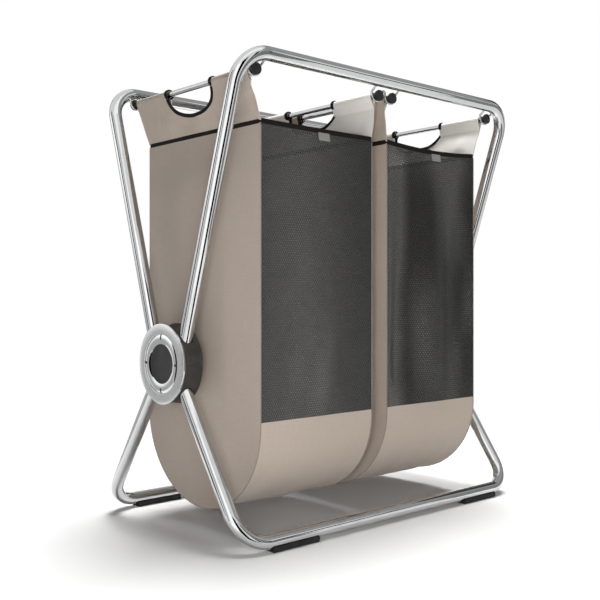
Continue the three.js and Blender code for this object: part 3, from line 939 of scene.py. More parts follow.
def turn_outline(
    name: str,
    outline: Sequence[Pair],
    centre: Vector,
    axis: Vector,
    steps: int,
    rounding: float,
    *finishes: Finish,
) -> Piece:
    """Turn a closed outline about a level axis, as on a lathe.

    Args:
        name: The piece's name.
        outline: The outline's corners, each a radius and a distance along the axis.
        centre: The place that distances are counted from.
        axis: The way the axis points, of length 1.
        steps: The number of steps round the axis.
        rounding: How far sharp edges are rounded afterwards, or 0 for sharp ones.
        finishes: The piece's finishes.

    Returns:
        The closed ring or disc.
    """
    Bench.clear()
    bpy.ops.mesh.primitive_circle_add(vertices=len(outline), radius=1)
    piece = Bench.started(name)
    for corner, (radius, along) in zip(piece.data.vertices, outline):
        corner.co = centre + UP * radius + axis * along
    Bench.edit(piece)
    bpy.ops.mesh.spin(steps=steps, angle=FULL_TURN, center=centre, axis=axis)
    Bench.leave()
    Bench.seal(piece)
    if rounding:
        Bench.round_edges(piece, rounding)
    Bench.smooth(piece)
    return dress(piece, *finishes)


def block(name: str, low: Vector, high: Vector) -> Piece:
    """A box between two corners, as a start for a piece or as a cutting tool.

    Args:
        name: The box's name.
        low: Its lowest corner.
        high: Its highest corner.

    Returns:
        The box.
    """
    Bench.clear()
    bpy.ops.mesh.primitive_cube_add(size=1, location=(low + high) / 2, scale=high - low)
    return Bench.started(name)


def round_bar(name: str, start: Vector, end: Vector, radius: float, sides: int) -> Piece:
    """A round bar between two places, as a start for a piece or as a cutting tool.

    Args:
        name: The bar's name.
        start: The middle of its first end.
        end: The middle of its second end.
        radius: Its radius.
        sides: The number of sides of its section.

    Returns:
        The closed bar.
    """
    way = end - start
    Bench.clear()
    bpy.ops.mesh.primitive_cylinder_add(
        vertices=sides, radius=radius, depth=way.length, location=(start + end) / 2,
        rotation=way.to_track_quat("Z", "X").to_euler())
    return Bench.started(name)


# Cloth and strips, shaped from flat grids

def between(low: float, high: float, share: float) -> float:
    """The value at a share of the way from one value to another."""
    return low + (high - low) * share


def faded(amount: float, reach: float) -> float:
    """A smooth rise from 0 to 1 as an amount goes from 0 to a reach."""
    share = min(1.0, max(0.0, amount / reach))
    return share * share * (3 - 2 * share)


def rounded_section(half_wide: float, half_thick: float, share: float, fullness: float = 1.0) -> Pair:
    """One place on a rounded flat section.

    Args:
        half_wide: Half of the section's width.
        half_thick: Half of its thickness.
        share: How far round the section the place is.
        fullness: 1 is an ellipse, and less is nearer to a rectangle.

    Returns:
        The place across the section and out of it.
    """
    turn = FULL_TURN * share
    wide = math.copysign(abs(math.cos(turn)) ** fullness, math.cos(turn))
    thick = math.copysign(abs(math.sin(turn)) ** fullness, math.sin(turn))
    return half_wide * wide, half_thick * thick


def laid(wide: float, long: float) -> Lay:
    """Cloth coordinates that run evenly over a sheet's width and length."""
    return lambda across, along: (wide * across, long * along)


def laid_round(wide: float, long: float) -> Lay:
    """Cloth coordinates of a strip rolled round its section, alike on its two faces."""
    return lambda round_share, along: (wide * 2 * abs(round_share - 0.5), long * along)


def woven_grid(name: str, cells: Cells, place: Place, lay: Lay) -> Piece:
    """Shape a flat grid into a surface and lay the cloth's coordinates on it.

    Args:
        name: The piece's name.
        cells: The number of cells across and along.
        place: Gives the place of each share across and along.
        lay: Gives the cloth coordinates, in metres, of each share across and along.

    Returns:
        The open sheet.
    """
    Bench.clear()
    across, along = cells
    bpy.ops.mesh.primitive_grid_add(x_subdivisions=across, y_subdivisions=along, size=1, calc_uvs=True)
    piece = Bench.started(name)
    shares = [(point.co.x + 0.5, point.co.y + 0.5) for point in piece.data.vertices]
    for point, share in zip(piece.data.vertices, shares):
        point.co = place(*share)
    layer = piece.data.uv_layers.active.data
    for loop in piece.data.loops:
        layer[loop.index].uv = lay(*shares[loop.vertex_index])
    return piece


def face_away(piece: Piece, centre: Vector) -> None:
    """Turn a piece's faces over if they look towards a place inside.

    Args:
        piece: The sheet or solid.
        centre: The place inside.
    """
    total = sum(face.normal.dot(face.center - centre) * face.area for face in piece.data.polygons)
    if total < 0:
        Bench.flip(piece)


def thicken(piece: Piece, thickness: float) -> None:
    """Give an open sheet its thickness inwards, where its second finish goes if it has one.

    Args:
        piece: The open sheet, whose faces look outwards.
        thickness: The cloth's thickness.
    """
    lined = len(piece.data.materials) > 1
    Bench.modify(
        piece, "SOLIDIFY", thickness=thickness, offset=-1.0, use_even_offset=False,
        material_offset=1 if lined else 0)


def sewn_sheet(
    name: str, cells: Cells, place: Place, lay: Lay, centre: Vector, thickness: float, *finishes: Finish
) -> Piece:
    """Make one sheet of cloth that looks away from a place inside.

    Args:
        name: The piece's name.
        cells: The number of cells across and along.
        place: Gives the place of each share across and along.
        lay: Gives the cloth coordinates of each share across and along.
        centre: The place inside.
        thickness: The cloth's thickness.
        finishes: The finish of the outside, and that of the inside if it differs.

    Returns:
        The closed sheet.
    """
    piece = woven_grid(name, cells, place, lay)
    face_away(piece, centre)
    dress(piece, *finishes)
    thicken(piece, thickness)
    Bench.smooth(piece, SOFT_DEGREES)
    return piece


def rolled_strip(name: str, cells: Cells, place: Place, lay: Lay) -> Piece:
    """Close a grid that is rolled round its section into a strip or a wire."""
    piece = woven_grid(name, cells, place, lay)
    Bench.seal(piece)
    return piece


@dataclass
class Outfit:
    """Hands finished pieces to the frame, and keeps count of them."""

    count: int = 0

    def add(self, piece: Piece, body: Body, slot: Slot, *nodes: str) -> Piece:
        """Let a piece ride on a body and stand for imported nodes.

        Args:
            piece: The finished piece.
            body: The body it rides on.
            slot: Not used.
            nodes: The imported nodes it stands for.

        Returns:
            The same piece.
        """
        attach(piece, body.value)
        if nodes:
            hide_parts(*nodes)
        self.count += 1
        faces = len(piece.data.polygons)
        log.info("piece %d: %s, %d faces, on %s", self.count, piece.name, faces, body.value)
        return piece


# The bent tube frame

def across_at(x: float, side_view: Vector) -> Vector:
    """The place of a side view's Y and Z at a distance along X."""
    return Vector((x, side_view.x, side_view.y))


@dataclass(frozen=True)
class LegLine:
    """The side view of one U: where its bar is, which way its legs go and where they end."""

    bar: Vector
    ahead: Vector
    end: Vector


@dataclass
class CrossedFrame:
    """The four bent tubes of the frame, with their hooks and foot pads."""

    tube_radius: float = 0.0095
    leg_plane_x: float = 0.2815
    bend_radius: float = 0.045
    top_bar: Pair = (0.1615, 0.644)
    bottom_bar: Pair = (0.165, 0.013)
    hub_centre_z: float = 0.236
    top_leg_offset: float = 0.027
    bottom_leg_offset: float = 0.013
    leg_depth_in_hub: float = 0.022
    drum_radius: float = 0.056
    tube_sides: int = 48
    tube_bend_steps: int = 20
    wire_radius: float = 0.00175
    wire_sides: int = 16
    wire_bend_steps: int = 10
    hook_half_width: float = 0.01075
    hook_y: float = 0.144
    hook_wire_z: float = 0.61795
    hook_leg_straight: float = 0.0025
    hook_leg_bend: float = 0.003
    weld_depth: float = 0.0007
    outer_rod_x: float = 0.247
    inner_rod_x: float = 0.0142
    pad_inner_x: float = 0.157
    pad_length: float = 0.08
    pad_half_width: float = 0.0105
    pad_sole_half_width: float = 0.009
    pad_side_height: float = 0.008
    pad_gap: float = 0.0003
    pad_rounding: float = 0.0016
    pad_rounding_steps: int = 4
    pad_cut_sides: int = 96

    def leg_line(self, end: End, top: bool) -> LegLine:
        """Work out one U's side view.

        Args:
            end: Whether its bar is at the front or the rear.
            top: Whether its bar is the upper one.

        Returns:
            Its bar, direction and end, each as Y and Z.
        """
        bar_y, bar_z = self.top_bar if top else self.bottom_bar
        offset = self.top_leg_offset if top else self.bottom_leg_offset
        bar = Vector((end.value * bar_y, bar_z))
        ahead = (Vector((end.value * offset, self.hub_centre_z)) - bar).normalized()
        from_hub = bar - Vector((0, self.hub_centre_z))
        along = -from_hub.dot(ahead)
        nearest = from_hub + ahead * along
        to_rim = math.sqrt(self.drum_radius ** 2 - nearest.length_squared)
        return LegLine(bar, ahead, bar + ahead * (along - to_rim + self.leg_depth_in_hub))

    def build(self, outfit: Outfit) -> None:
        """Build every tube, hook and pad, and hand them to the frame.

        Args:
            outfit: Takes the finished pieces.
        """
        for end, top, body in (
            (End.FRONT, True, Body.FRONT),
            (End.REAR, True, Body.REAR),
            (End.FRONT, False, Body.REAR),
            (End.REAR, False, Body.FRONT),
        ):
            node = f"{end.word}_{'top' if top else 'bottom'}_frame"
            outfit.add(self.tube(node, self.leg_line(end, top)), body, Slot.CHROME, node)
        hooks = {
            "left": (-self.outer_rod_x,),
            "middle": (-self.inner_rod_x, self.inner_rod_x),
            "right": (self.outer_rod_x,),
        }
        for end, body in ((End.FRONT, Body.FRONT), (End.REAR, Body.REAR)):
            for word, rods in hooks.items():
                node = f"{end.word}_{word}_hook"
                outfit.add(self.hook(node, rods, end), body, Slot.CHROME, node)
        for end, body in ((End.FRONT, Body.REAR), (End.REAR, Body.FRONT)):
            for side in Side:
                node = f"{end.word}_{side.word}_foot_pad"
                outfit.add(self.foot_pad(node, side, end), body, Slot.RUBBER, node)

    def tube(self, node: str, line: LegLine) -> Piece:
        """One U-shaped tube.

        Args:
            node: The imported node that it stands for.
            line: The side view of the U.

        Returns:
            The bent tube.
        """
        x = self.leg_plane_x
        places = ((-x, line.end), (-x, line.bar), (x, line.bar), (x, line.end))
        return bend_pipe(
            f"{node}_tube", [across_at(*place) for place in places], (self.bend_radius, self.bend_radius),
            self.tube_radius, self.tube_sides, self.tube_bend_steps, CHROME)

    @property
    def hook_top_z(self) -> float:
        """The height at which a hook's legs turn towards the bar."""
        return self.hook_wire_z + self.hook_half_width + self.hook_leg_straight

    def weld_place(self, at_x: float, end: End) -> Vector:
        """Where a hook's wire runs into its bar, bend included.

        Args:
            at_x: Where the wire is along X.
            end: Whether it is at the front or the rear.

        Returns:
            The place just inside the bar's wall.
        """
        line = self.leg_line(End.REAR, True)
        into_bend = max(0.0, abs(at_x) - self.leg_plane_x + self.bend_radius)
        drop = self.bend_radius - math.sqrt(self.bend_radius ** 2 - into_bend ** 2)
        start = Vector((self.hook_y, self.hook_top_z))
        way = line.bar + line.ahead * drop - start
        reached = start + way.normalized() * (way.length - self.tube_radius + self.weld_depth)
        return Vector((at_x, end.value * reached.x, reached.y))

    def hook(self, node: str, rods: Sequence[float], end: End) -> Piece:
        """One bent wire hook, with a round bend under each rod.

        Args:
            node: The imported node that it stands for.
            rods: Where the rods in it are along X.
            end: Whether it is at the front or the rear.

        Returns:
            The bent wire.
        """
        half = self.hook_half_width
        first_x, last_x = rods[0] - half, rods[-1] + half
        turns = [(first_x, self.hook_top_z, self.hook_leg_bend)]
        for at, rod_x in enumerate(rods):
            turns += [(rod_x - half, self.hook_wire_z, half), (rod_x + half, self.hook_wire_z, half)]
            if at < len(rods) - 1:
                crossing = (rods[at + 1] - rod_x) / 2 - half
                top = self.hook_top_z + crossing
                turns += [(rod_x + half, top, crossing), (rods[at + 1] - half, top, crossing)]
        turns.append((last_x, self.hook_top_z, self.hook_leg_bend))
        corners = [Vector((x, end.value * self.hook_y, z)) for x, z, _ in turns]
        corners = [self.weld_place(first_x, end), *corners, self.weld_place(last_x, end)]
        return bend_pipe(
            f"{node}_wire", corners, [bend for _, _, bend in turns],
            self.wire_radius, self.wire_sides, self.wire_bend_steps, WIRE)

    def foot_pad(self, node: str, side: Side, end: End) -> Piece:
        """One pad that cradles the underside of a bottom bar.

        Args:
            node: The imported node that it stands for.
            side: The end of the bar that it is on.
            end: Whether it is at the front or the rear.

        Returns:
            The pad.
        """
        bar_y, bar_z = self.bottom_bar
        middle_y = end.value * bar_y
        start_x = side.pick(-self.pad_inner_x - self.pad_length, self.pad_inner_x)
        low = Vector((start_x, middle_y - self.pad_half_width, 0))
        high = Vector((start_x + self.pad_length, middle_y + self.pad_half_width, self.pad_side_height))
        piece = block(f"{node}_rubber", low, high)
        for point in piece.data.vertices:
            if point.co.z < self.pad_side_height / 2:
                away = math.copysign(self.pad_sole_half_width, point.co.y - middle_y)
                point.co.y = middle_y + away
        Bench.round_edges(piece, self.pad_rounding, self.pad_rounding_steps)
        bar = Vector((0, middle_y, bar_z))
        past = Vector((self.leg_plane_x, 0, 0))
        cut_radius = self.tube_radius + self.pad_gap
        Bench.cut(piece, round_bar("bar_cut", bar - past, bar + past, cut_radius, self.pad_cut_sides))
        Bench.smooth(piece)
        return dress(piece, RUBBER)


# The hubs

def mirrored(piece: Piece, name: str) -> Piece:
    """Turn a right-hand piece into its left-hand twin.

    Args:
        piece: The right-hand piece.
        name: The twin's name.

    Returns:
        The same piece, turned.
    """
    for point in piece.data.vertices:
        point.co.x = -point.co.x
    Bench.flip(piece)
    return Bench.named(piece, name)


@dataclass
class Hub:
    """One round hub: two plastic shells, two metal rings, the release button and its spring."""

    side: Side
    frame: CrossedFrame
    inner_x: float = 0.265
    block_start: float = 0.2699
    base_block_end: float = 0.2923
    cover_plate_start: float = 0.2926
    cover_plate_end: float = 0.2944
    ring_start: float = 0.2947
    web_face: float = 0.275
    web_outer_face: float = 0.279
    gap: float = 0.0003
    past: float = 0.002
    bore_radius: float = 0.0101
    bore_reach: float = 1.4
    bore_sides: int = 64
    flange_inner_radius: float = 0.041
    flange_thickness: float = 0.0023
    flange_skirt_wall: float = 0.0025
    flange_rounding: float = 0.0007
    flange_slope: float = 0.0009
    rim_start_radius: float = 0.0545
    ring_steps: int = 128
    bezel_outer_radius: float = 0.0407
    bezel_thickness: float = 0.0021
    bezel_edge: float = 0.0008
    bezel_lip_radius: float = 0.0277
    crown_steps: int = 8
    button_rounding: float = 0.0004
    notch_width: float = 0.003
    notch_length: float = 0.007
    notch_depth: float = 0.0021
    button_radius: float = 0.0297
    button_inner_face: float = 0.2905
    button_outer_face: float = 0.2952
    button_dish: float = 0.0016
    button_lip: float = 0.0022
    boss_radius: float = 0.012
    bolt_hole_radius: float = 0.0054
    web_radius: float = 0.028
    slot_half_angle: float = 21.0
    stop_gap_angle: float = 0.12
    shell_sides: int = 96
    shell_merge: float = 0.000004
    shell_rounding: float = 0.0003
    shell_rounding_steps: int = 2
    flat_angle: float = 0.01
    spring_radius: float = 0.0125
    spring_wire: float = 0.0006
    spring_turns: float = 4.5
    spring_cells: Cells = (8, 108)
    spring_keep: float = 0.6

    @property
    def centre(self) -> Vector:
        """The middle of the hamper at the height of the hubs."""
        return Vector((0, 0, self.frame.hub_centre_z))

    @property
    def outward(self) -> Vector:
        """The way from the middle of the hamper to this hub."""
        return Vector((self.side.value, 0, 0))

    def build(self, outfit: Outfit) -> None:
        """Build every part of the hub, and hand them to the frame.

        Args:
            outfit: Takes the finished pieces.
        """
        word = self.side.word
        for part, make, body, slot in (
            ("base_shell", self.base_shell, Body.REAR, Slot.DARK),
            ("cover_shell", self.cover_shell, Body.FRONT, Slot.DARK),
            ("flange_ring", self.flange_ring, Body.FRONT, Slot.SATIN),
            ("bezel_ring", self.bezel_ring, Body.FRONT, Slot.CHROME),
            ("release_button", self.button, self.side.button_body, Slot.BLACK),
        ):
            outfit.add(make(), body, slot, f"{word}_hub_{part}")
        spring = outfit.add(self.spring(), Body.FRONT, Slot.STEEL, f"{word}_hub_button_spring")
        held_place = self.centre + self.outward * self.web_outer_face
        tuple(self.outward)
        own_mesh(spring)

    def drum(self, name: str, radius: float, start: float, end: float) -> Piece:
        """A round block about the hub's axis, between two distances from the middle.

        Args:
            name: The block's name.
            radius: Its radius.
            start: The distance at which it starts.
            end: The distance at which it ends.

        Returns:
            The block.
        """
        first, last = self.centre + self.outward * start, self.centre + self.outward * end
        return round_bar(name, first, last, radius, self.shell_sides)

    def wedge(self, start_angle: float, end_angle: float, start: float, end: float) -> Piece:
        """A cutting tool between two angles, counted in degrees from straight up to the front.

        Args:
            start_angle: The angle at which it starts.
            end_angle: The angle at which it ends.
            start: The distance from the middle at which it starts.
            end: The distance at which it ends.

        Returns:
            The tool.
        """
        tool = self.drum("wedge_cut", self.frame.drum_radius * 2, start, end)
        for angle, way in ((start_angle, 1), (end_angle, -1)):
            turn = math.radians(angle)
            keep = Vector((0, -math.cos(turn), -math.sin(turn))) * way
            Bench.edit(tool)
            bpy.ops.mesh.bisect(plane_co=self.centre, plane_no=keep, use_fill=True, clear_inner=True)
            Bench.leave()
        Bench.seal(tool)
        return tool

    def leg_bore(self, end: End, top: bool) -> Piece:
        """The cutting tool for the socket of one leg.

        Args:
            end: Whether the leg's bar is at the front or the rear.
            top: Whether that bar is the upper one.

        Returns:
            The tool.
        """
        line = self.frame.leg_line(end, top)
        x = self.side.value * self.frame.leg_plane_x
        inner = across_at(x, line.end + line.ahead * self.gap)
        outer = across_at(x, line.end - line.ahead * (self.frame.drum_radius * self.bore_reach))
        return round_bar("bore_cut", inner, outer, self.bore_radius, self.bore_sides)

    def finish_shell(self, shell: Piece) -> Piece:
        """Round a shell's edges and give it its plastic.

        Args:
            shell: The shell as it was cut.

        Returns:
            The same shell.
        """
        Bench.edit(shell)
        bpy.ops.mesh.dissolve_limited(angle_limit=self.flat_angle)
        Bench.leave()
        Bench.seal(shell, self.shell_merge)
        Bench.round_edges(shell, self.shell_rounding, self.shell_rounding_steps)
        face_away(shell, self.centre)
        Bench.smooth(shell)
        return dress(shell, DARK_PLASTIC)

    def base_shell(self) -> Piece:
        """The shell on the rear frame: plate, boss and two blocks with leg sockets."""
        name = f"{self.side.word}_hub_base_moulding"
        start, end = self.block_start, self.base_block_end + self.past
        slot, stop = self.slot_half_angle, self.stop_gap_angle
        shell = self.drum(name, self.frame.drum_radius, self.inner_x, self.base_block_end)
        Bench.cut(
            shell,
            self.drum("core_cut", self.button_radius + self.gap * 2, start, end),
            self.wedge(180 - slot, 270 + stop, start, end),
            self.wedge(-slot, 90 + stop, start, end),
            self.leg_bore(End.REAR, True),
            self.leg_bore(End.FRONT, False))
        boss_start = (self.inner_x + self.block_start) / 2
        boss = self.drum("boss", self.boss_radius, boss_start, self.web_face - self.gap)
        Bench.cut(shell, boss, operation="UNION")
        hole = (self.bolt_hole_radius, self.inner_x - self.past, self.web_face + self.past)
        Bench.cut(shell, self.drum("bolt_cut", *hole))
        return self.finish_shell(shell)

    def cover_shell(self) -> Piece:
        """The shell on the front frame: plate, web and two blocks with leg sockets."""
        name = f"{self.side.word}_hub_cover_moulding"
        if self.side is Side.LEFT:
            return mirrored(Hub(Side.RIGHT, self.frame).cover_shell(), name)
        slot, stop, past = self.slot_half_angle, self.stop_gap_angle, self.past
        start, plate, face = self.block_start + self.gap, self.cover_plate_start, self.cover_plate_end
        trimmed = self.frame.drum_radius - self.flange_skirt_wall - self.gap
        button = self.button_radius + self.gap
        shell = self.drum(name, self.frame.drum_radius, start, plate)
        Bench.cut(shell, self.drum("plate", trimmed, start + past, face), operation="UNION")
        for first, last in ((90 - stop, 180 + slot), (270 - stop, 360 + slot)):
            tool = self.wedge(first, last, start - past, plate)
            Bench.cut(tool, self.drum("core", self.web_radius, start - past * 2, face))
            Bench.cut(shell, tool)
        Bench.cut(
            shell,
            self.drum("button_cut", button, self.web_outer_face, face + past),
            self.drum("under_cut", button, start - past, self.web_face),
            self.drum("bolt_cut", self.bolt_hole_radius, self.web_face - past, self.web_outer_face + past),
            self.leg_bore(End.FRONT, True),
            self.leg_bore(End.REAR, False))
        return self.finish_shell(shell)

    def turned(
        self, part: str, outline: Sequence[Pair], steps: int, rounding: float, *finishes: Finish
    ) -> Piece:
        """A part that is turned about the hub's axis.

        Args:
            part: The part's name without its side.
            outline: Its corners, each a radius and a distance along the axis.
            steps: The number of steps round the axis.
            rounding: How far sharp edges are rounded.
            finishes: Its finishes.

        Returns:
            The turned part.
        """
        name = f"{self.side.word}_hub_{part}"
        return turn_outline(name, outline, self.centre, self.outward, steps, rounding, *finishes)

    def flange_ring(self) -> Piece:
        """The broad satin ring, with a polished skirt round the edge of the cover plate."""
        radius, inner = self.frame.drum_radius, self.flange_inner_radius
        face = self.ring_start + self.flange_thickness
        skirt_start = self.cover_plate_start + self.gap
        inside = radius - self.flange_skirt_wall
        outline = (
            (inner, self.ring_start),
            (inside, self.ring_start),
            (inside, skirt_start),
            (radius, skirt_start),
            (radius, face - self.flange_slope),
            (inner, face),
        )
        ring = self.turned("flange_face", outline, self.ring_steps, self.flange_rounding, SATIN, RIM)
        for part in ring.data.polygons:
            spoke = part.center - self.centre
            spoke.x = 0
            if spoke.length > self.rim_start_radius or spoke.length < inner + TINY:
                part.material_index = 1
        return ring

    def bezel_ring(self) -> Piece:
        """The bright inner ring, slightly crowned, with four small notches in its outer edge."""
        inner, outer = self.button_radius + self.gap, self.bezel_outer_radius
        face = self.ring_start + self.bezel_thickness
        low = self.ring_start + self.bezel_edge
        crown = []
        for at in range(self.crown_steps + 1):
            radius = between(outer, self.bezel_lip_radius, at / self.crown_steps)
            crown.append((radius, between(low, face, math.sin(HALF_TURN * at / self.crown_steps))))
        outline = ((inner, self.ring_start), (outer, self.ring_start), *crown, (inner, low))
        ring = self.turned("bezel_bright", outline, self.ring_steps, 0.0, RIM)
        for up, along in ((1, 0), (-1, 0), (0, 1), (0, -1)):
            half_y, half_z = self.notch_width / 2, self.notch_length
            if along:
                half_y, half_z = half_z, half_y
            half = Vector((self.notch_depth, half_y, half_z))
            middle = self.centre + self.outward * face + Vector((0, along, up)) * outer
            Bench.cut(ring, block("notch_cut", middle - half, middle + half))
        Bench.smooth(ring)
        return ring

    def button(self) -> Piece:
        """The recessed dark disc, with a shallow dish inside a soft lip."""
        radius = self.button_radius
        lip = radius - self.button_lip
        back, face = self.button_inner_face, self.button_outer_face
        outline = (
            (0, back),
            (radius, back),
            (radius, face),
            (lip, face),
            (lip - self.button_lip / 2, face - self.button_dish),
            (0, face - self.button_dish),
        )
        return self.turned("button_disc", outline, self.shell_sides, self.button_rounding, BUTTON_PLASTIC)

    def spring(self) -> Piece:
        """The coil spring behind the button."""
        wire = self.spring_wire
        start = self.centre + self.outward * (self.web_outer_face + wire + self.gap)
        length = self.button_inner_face - self.web_outer_face - wire * 2 - self.gap * 2
        along = self.outward.cross(UP)

        def place(share_round: float, share_on: float) -> Vector:
            """The place at a share round the wire and a share on its way."""
            turn = FULL_TURN * self.spring_turns * share_on
            spoke = UP * math.cos(turn) + along * math.sin(turn)
            across, out = rounded_section(wire, wire, share_round)
            return start + self.outward * (length * share_on + out) + spoke * (self.spring_radius + across)

        piece = rolled_strip(f"{self.side.word}_hub_spring_coil", self.spring_cells, place, laid(1, 1))
        Bench.smooth(piece, SOFT_DEGREES)
        return dress(piece, STEEL)


# The bags

@dataclass
class Route:
    """A chain of places that can be asked for by its share of the whole length."""

    places: list[Vector]
    reached: list[float] = field(default_factory=list)

    def __post_init__(self) -> None:
        """Add up the lengths between the places."""
        self.reached = [0.0]
        for first, second in zip(self.places, self.places[1:]):
            self.reached.append(self.reached[-1] + (second - first).length)

    @property
    def length(self) -> float:
        """The whole length."""
        return self.reached[-1]

    def at(self, share: float) -> Vector:
        """The place at a share of the whole length.

        Args:
            share: The share, which is kept between 0 and 1.

        Returns:
            The place.
        """
        wanted = min(1.0, max(0.0, share)) * self.length
        for spot, (low, high) in enumerate(zip(self.reached, self.reached[1:])):
            if wanted <= high + TINY:
                part = 0.0 if high <= low else (wanted - low) / (high - low)
                return self.places[spot].lerp(self.places[spot + 1], min(1.0, part))
        return self.places[-1].copy()

    def outward(self, share: float) -> Vector:
        """The direction square to a route in the plane of Y and Z, on its right side.

        Args:
            share: The share of the whole length.

        Returns:
            The direction, of length 1.
        """
        step = 0.002
        ahead = (self.at(share + step) - self.at(share - step)).normalized()
        return Vector((0, ahead.z, -ahead.y))


def upright(front_view: Vector, y: float = 0.0) -> Vector:
    """The place or direction of a front view's X and Z, at a place along Y."""
    return Vector((front_view.x, y, front_view.y))


@dataclass
class FlapLine:
    """The front view of one flap, from the hem up to and round its rod. X is across, Y is up."""

    foot: Vector
    rod: Vector
    sleeve_radius: float
    overlap: float
    seam_gap: float
    arc_steps: int = 18
    straight_steps: int = 10

    @property
    def away(self) -> float:
        """The way across in which the flap leans."""
        return math.copysign(1.0, self.rod.x - self.foot.x)

    @property
    def length(self) -> float:
        """The distance from the foot to the rod's middle."""
        return (self.rod - self.foot).length

    @property
    def ahead(self) -> Vector:
        """The direction of the sheet, which touches the sleeve on its outer side."""
        to_rod = (self.rod - self.foot).normalized()
        side_way = Vector((to_rod.y, -to_rod.x)) * self.away
        lean = math.asin(self.sleeve_radius / self.length)
        return (to_rod * math.cos(lean) + side_way * math.sin(lean)).normalized()

    @property
    def outward(self) -> Vector:
        """The direction square to the sheet on its outer side."""
        ahead = self.ahead
        return Vector((ahead.y, -ahead.x)) * self.away

    @property
    def sheet_length(self) -> float:
        """The distance from the foot to where the sheet meets the sleeve."""
        return math.sqrt(self.length ** 2 - self.sleeve_radius ** 2)

    def sheet_at(self, height: float) -> Vector:
        """The place on the sheet at a distance from its foot."""
        return self.foot + self.ahead * height

    def wrap(self) -> tuple[Route, float]:
        """The whole section of the flap where it has a sleeve.

        Returns:
            The route from the foot over the rod and down to the sleeve's seam, and the share of
            it at which the cloth passes the top of the rod.
        """
        start = self.outward
        end = self.sheet_at(self.sheet_length - self.overlap) - start * self.seam_gap
        to_rod = self.rod - end
        lean = math.asin(self.sleeve_radius / to_rod.length)
        to_rod.normalize()
        side_way = Vector((-to_rod.y, to_rod.x)) * self.away
        tangent = to_rod * math.cos(lean) + side_way * math.sin(lean)
        last = Vector((-tangent.y, tangent.x)) * self.away
        sweep = start.angle(last)
        if start.cross(last) * self.away < 0:
            sweep = FULL_TURN - sweep
        places = [
            self.sheet_at(self.sheet_length * step / self.straight_steps)
            for step in range(self.straight_steps)]
        for step in range(self.arc_steps + 1):
            turn = sweep * step / self.arc_steps * self.away
            spoke = Vector((
                start.x * math.cos(turn) - start.y * math.sin(turn),
                start.x * math.sin(turn) + start.y * math.cos(turn)))
            places.append(self.rod + spoke * self.sleeve_radius)
        places.append(end)
        route = Route([upright(place) for place in places])
        top = max(range(len(route.places)), key=lambda at: route.places[at].z)
        return route, route.reached[top] / route.length


@dataclass(frozen=True)
class Ripples:
    """Two sets of soft waves over a cloth, each with its number of waves to a metre two ways."""

    coarse: Pair
    fine: Pair
    fine_share: float
    fine_layer: float = 2.0

    def at(self, first: float, second: float, layer: float, shift: float) -> float:
        """How high the waves are at a place of a layer. They are the same on each run.

        Args:
            first: The place one way over the cloth, in metres.
            second: The place the other way.
            layer: A number that gives each cloth waves of its own.
            shift: One more such number, for the side.

        Returns:
            The height of both sets, about between -1 and 1.
        """
        coarse = (first * self.coarse[0], second * self.coarse[1], layer + shift)
        fine = (first * self.fine[0], second * self.fine[1], layer + self.fine_layer + shift)
        return noise.noise(Vector(coarse)) + self.fine_share * noise.noise(Vector(fine))


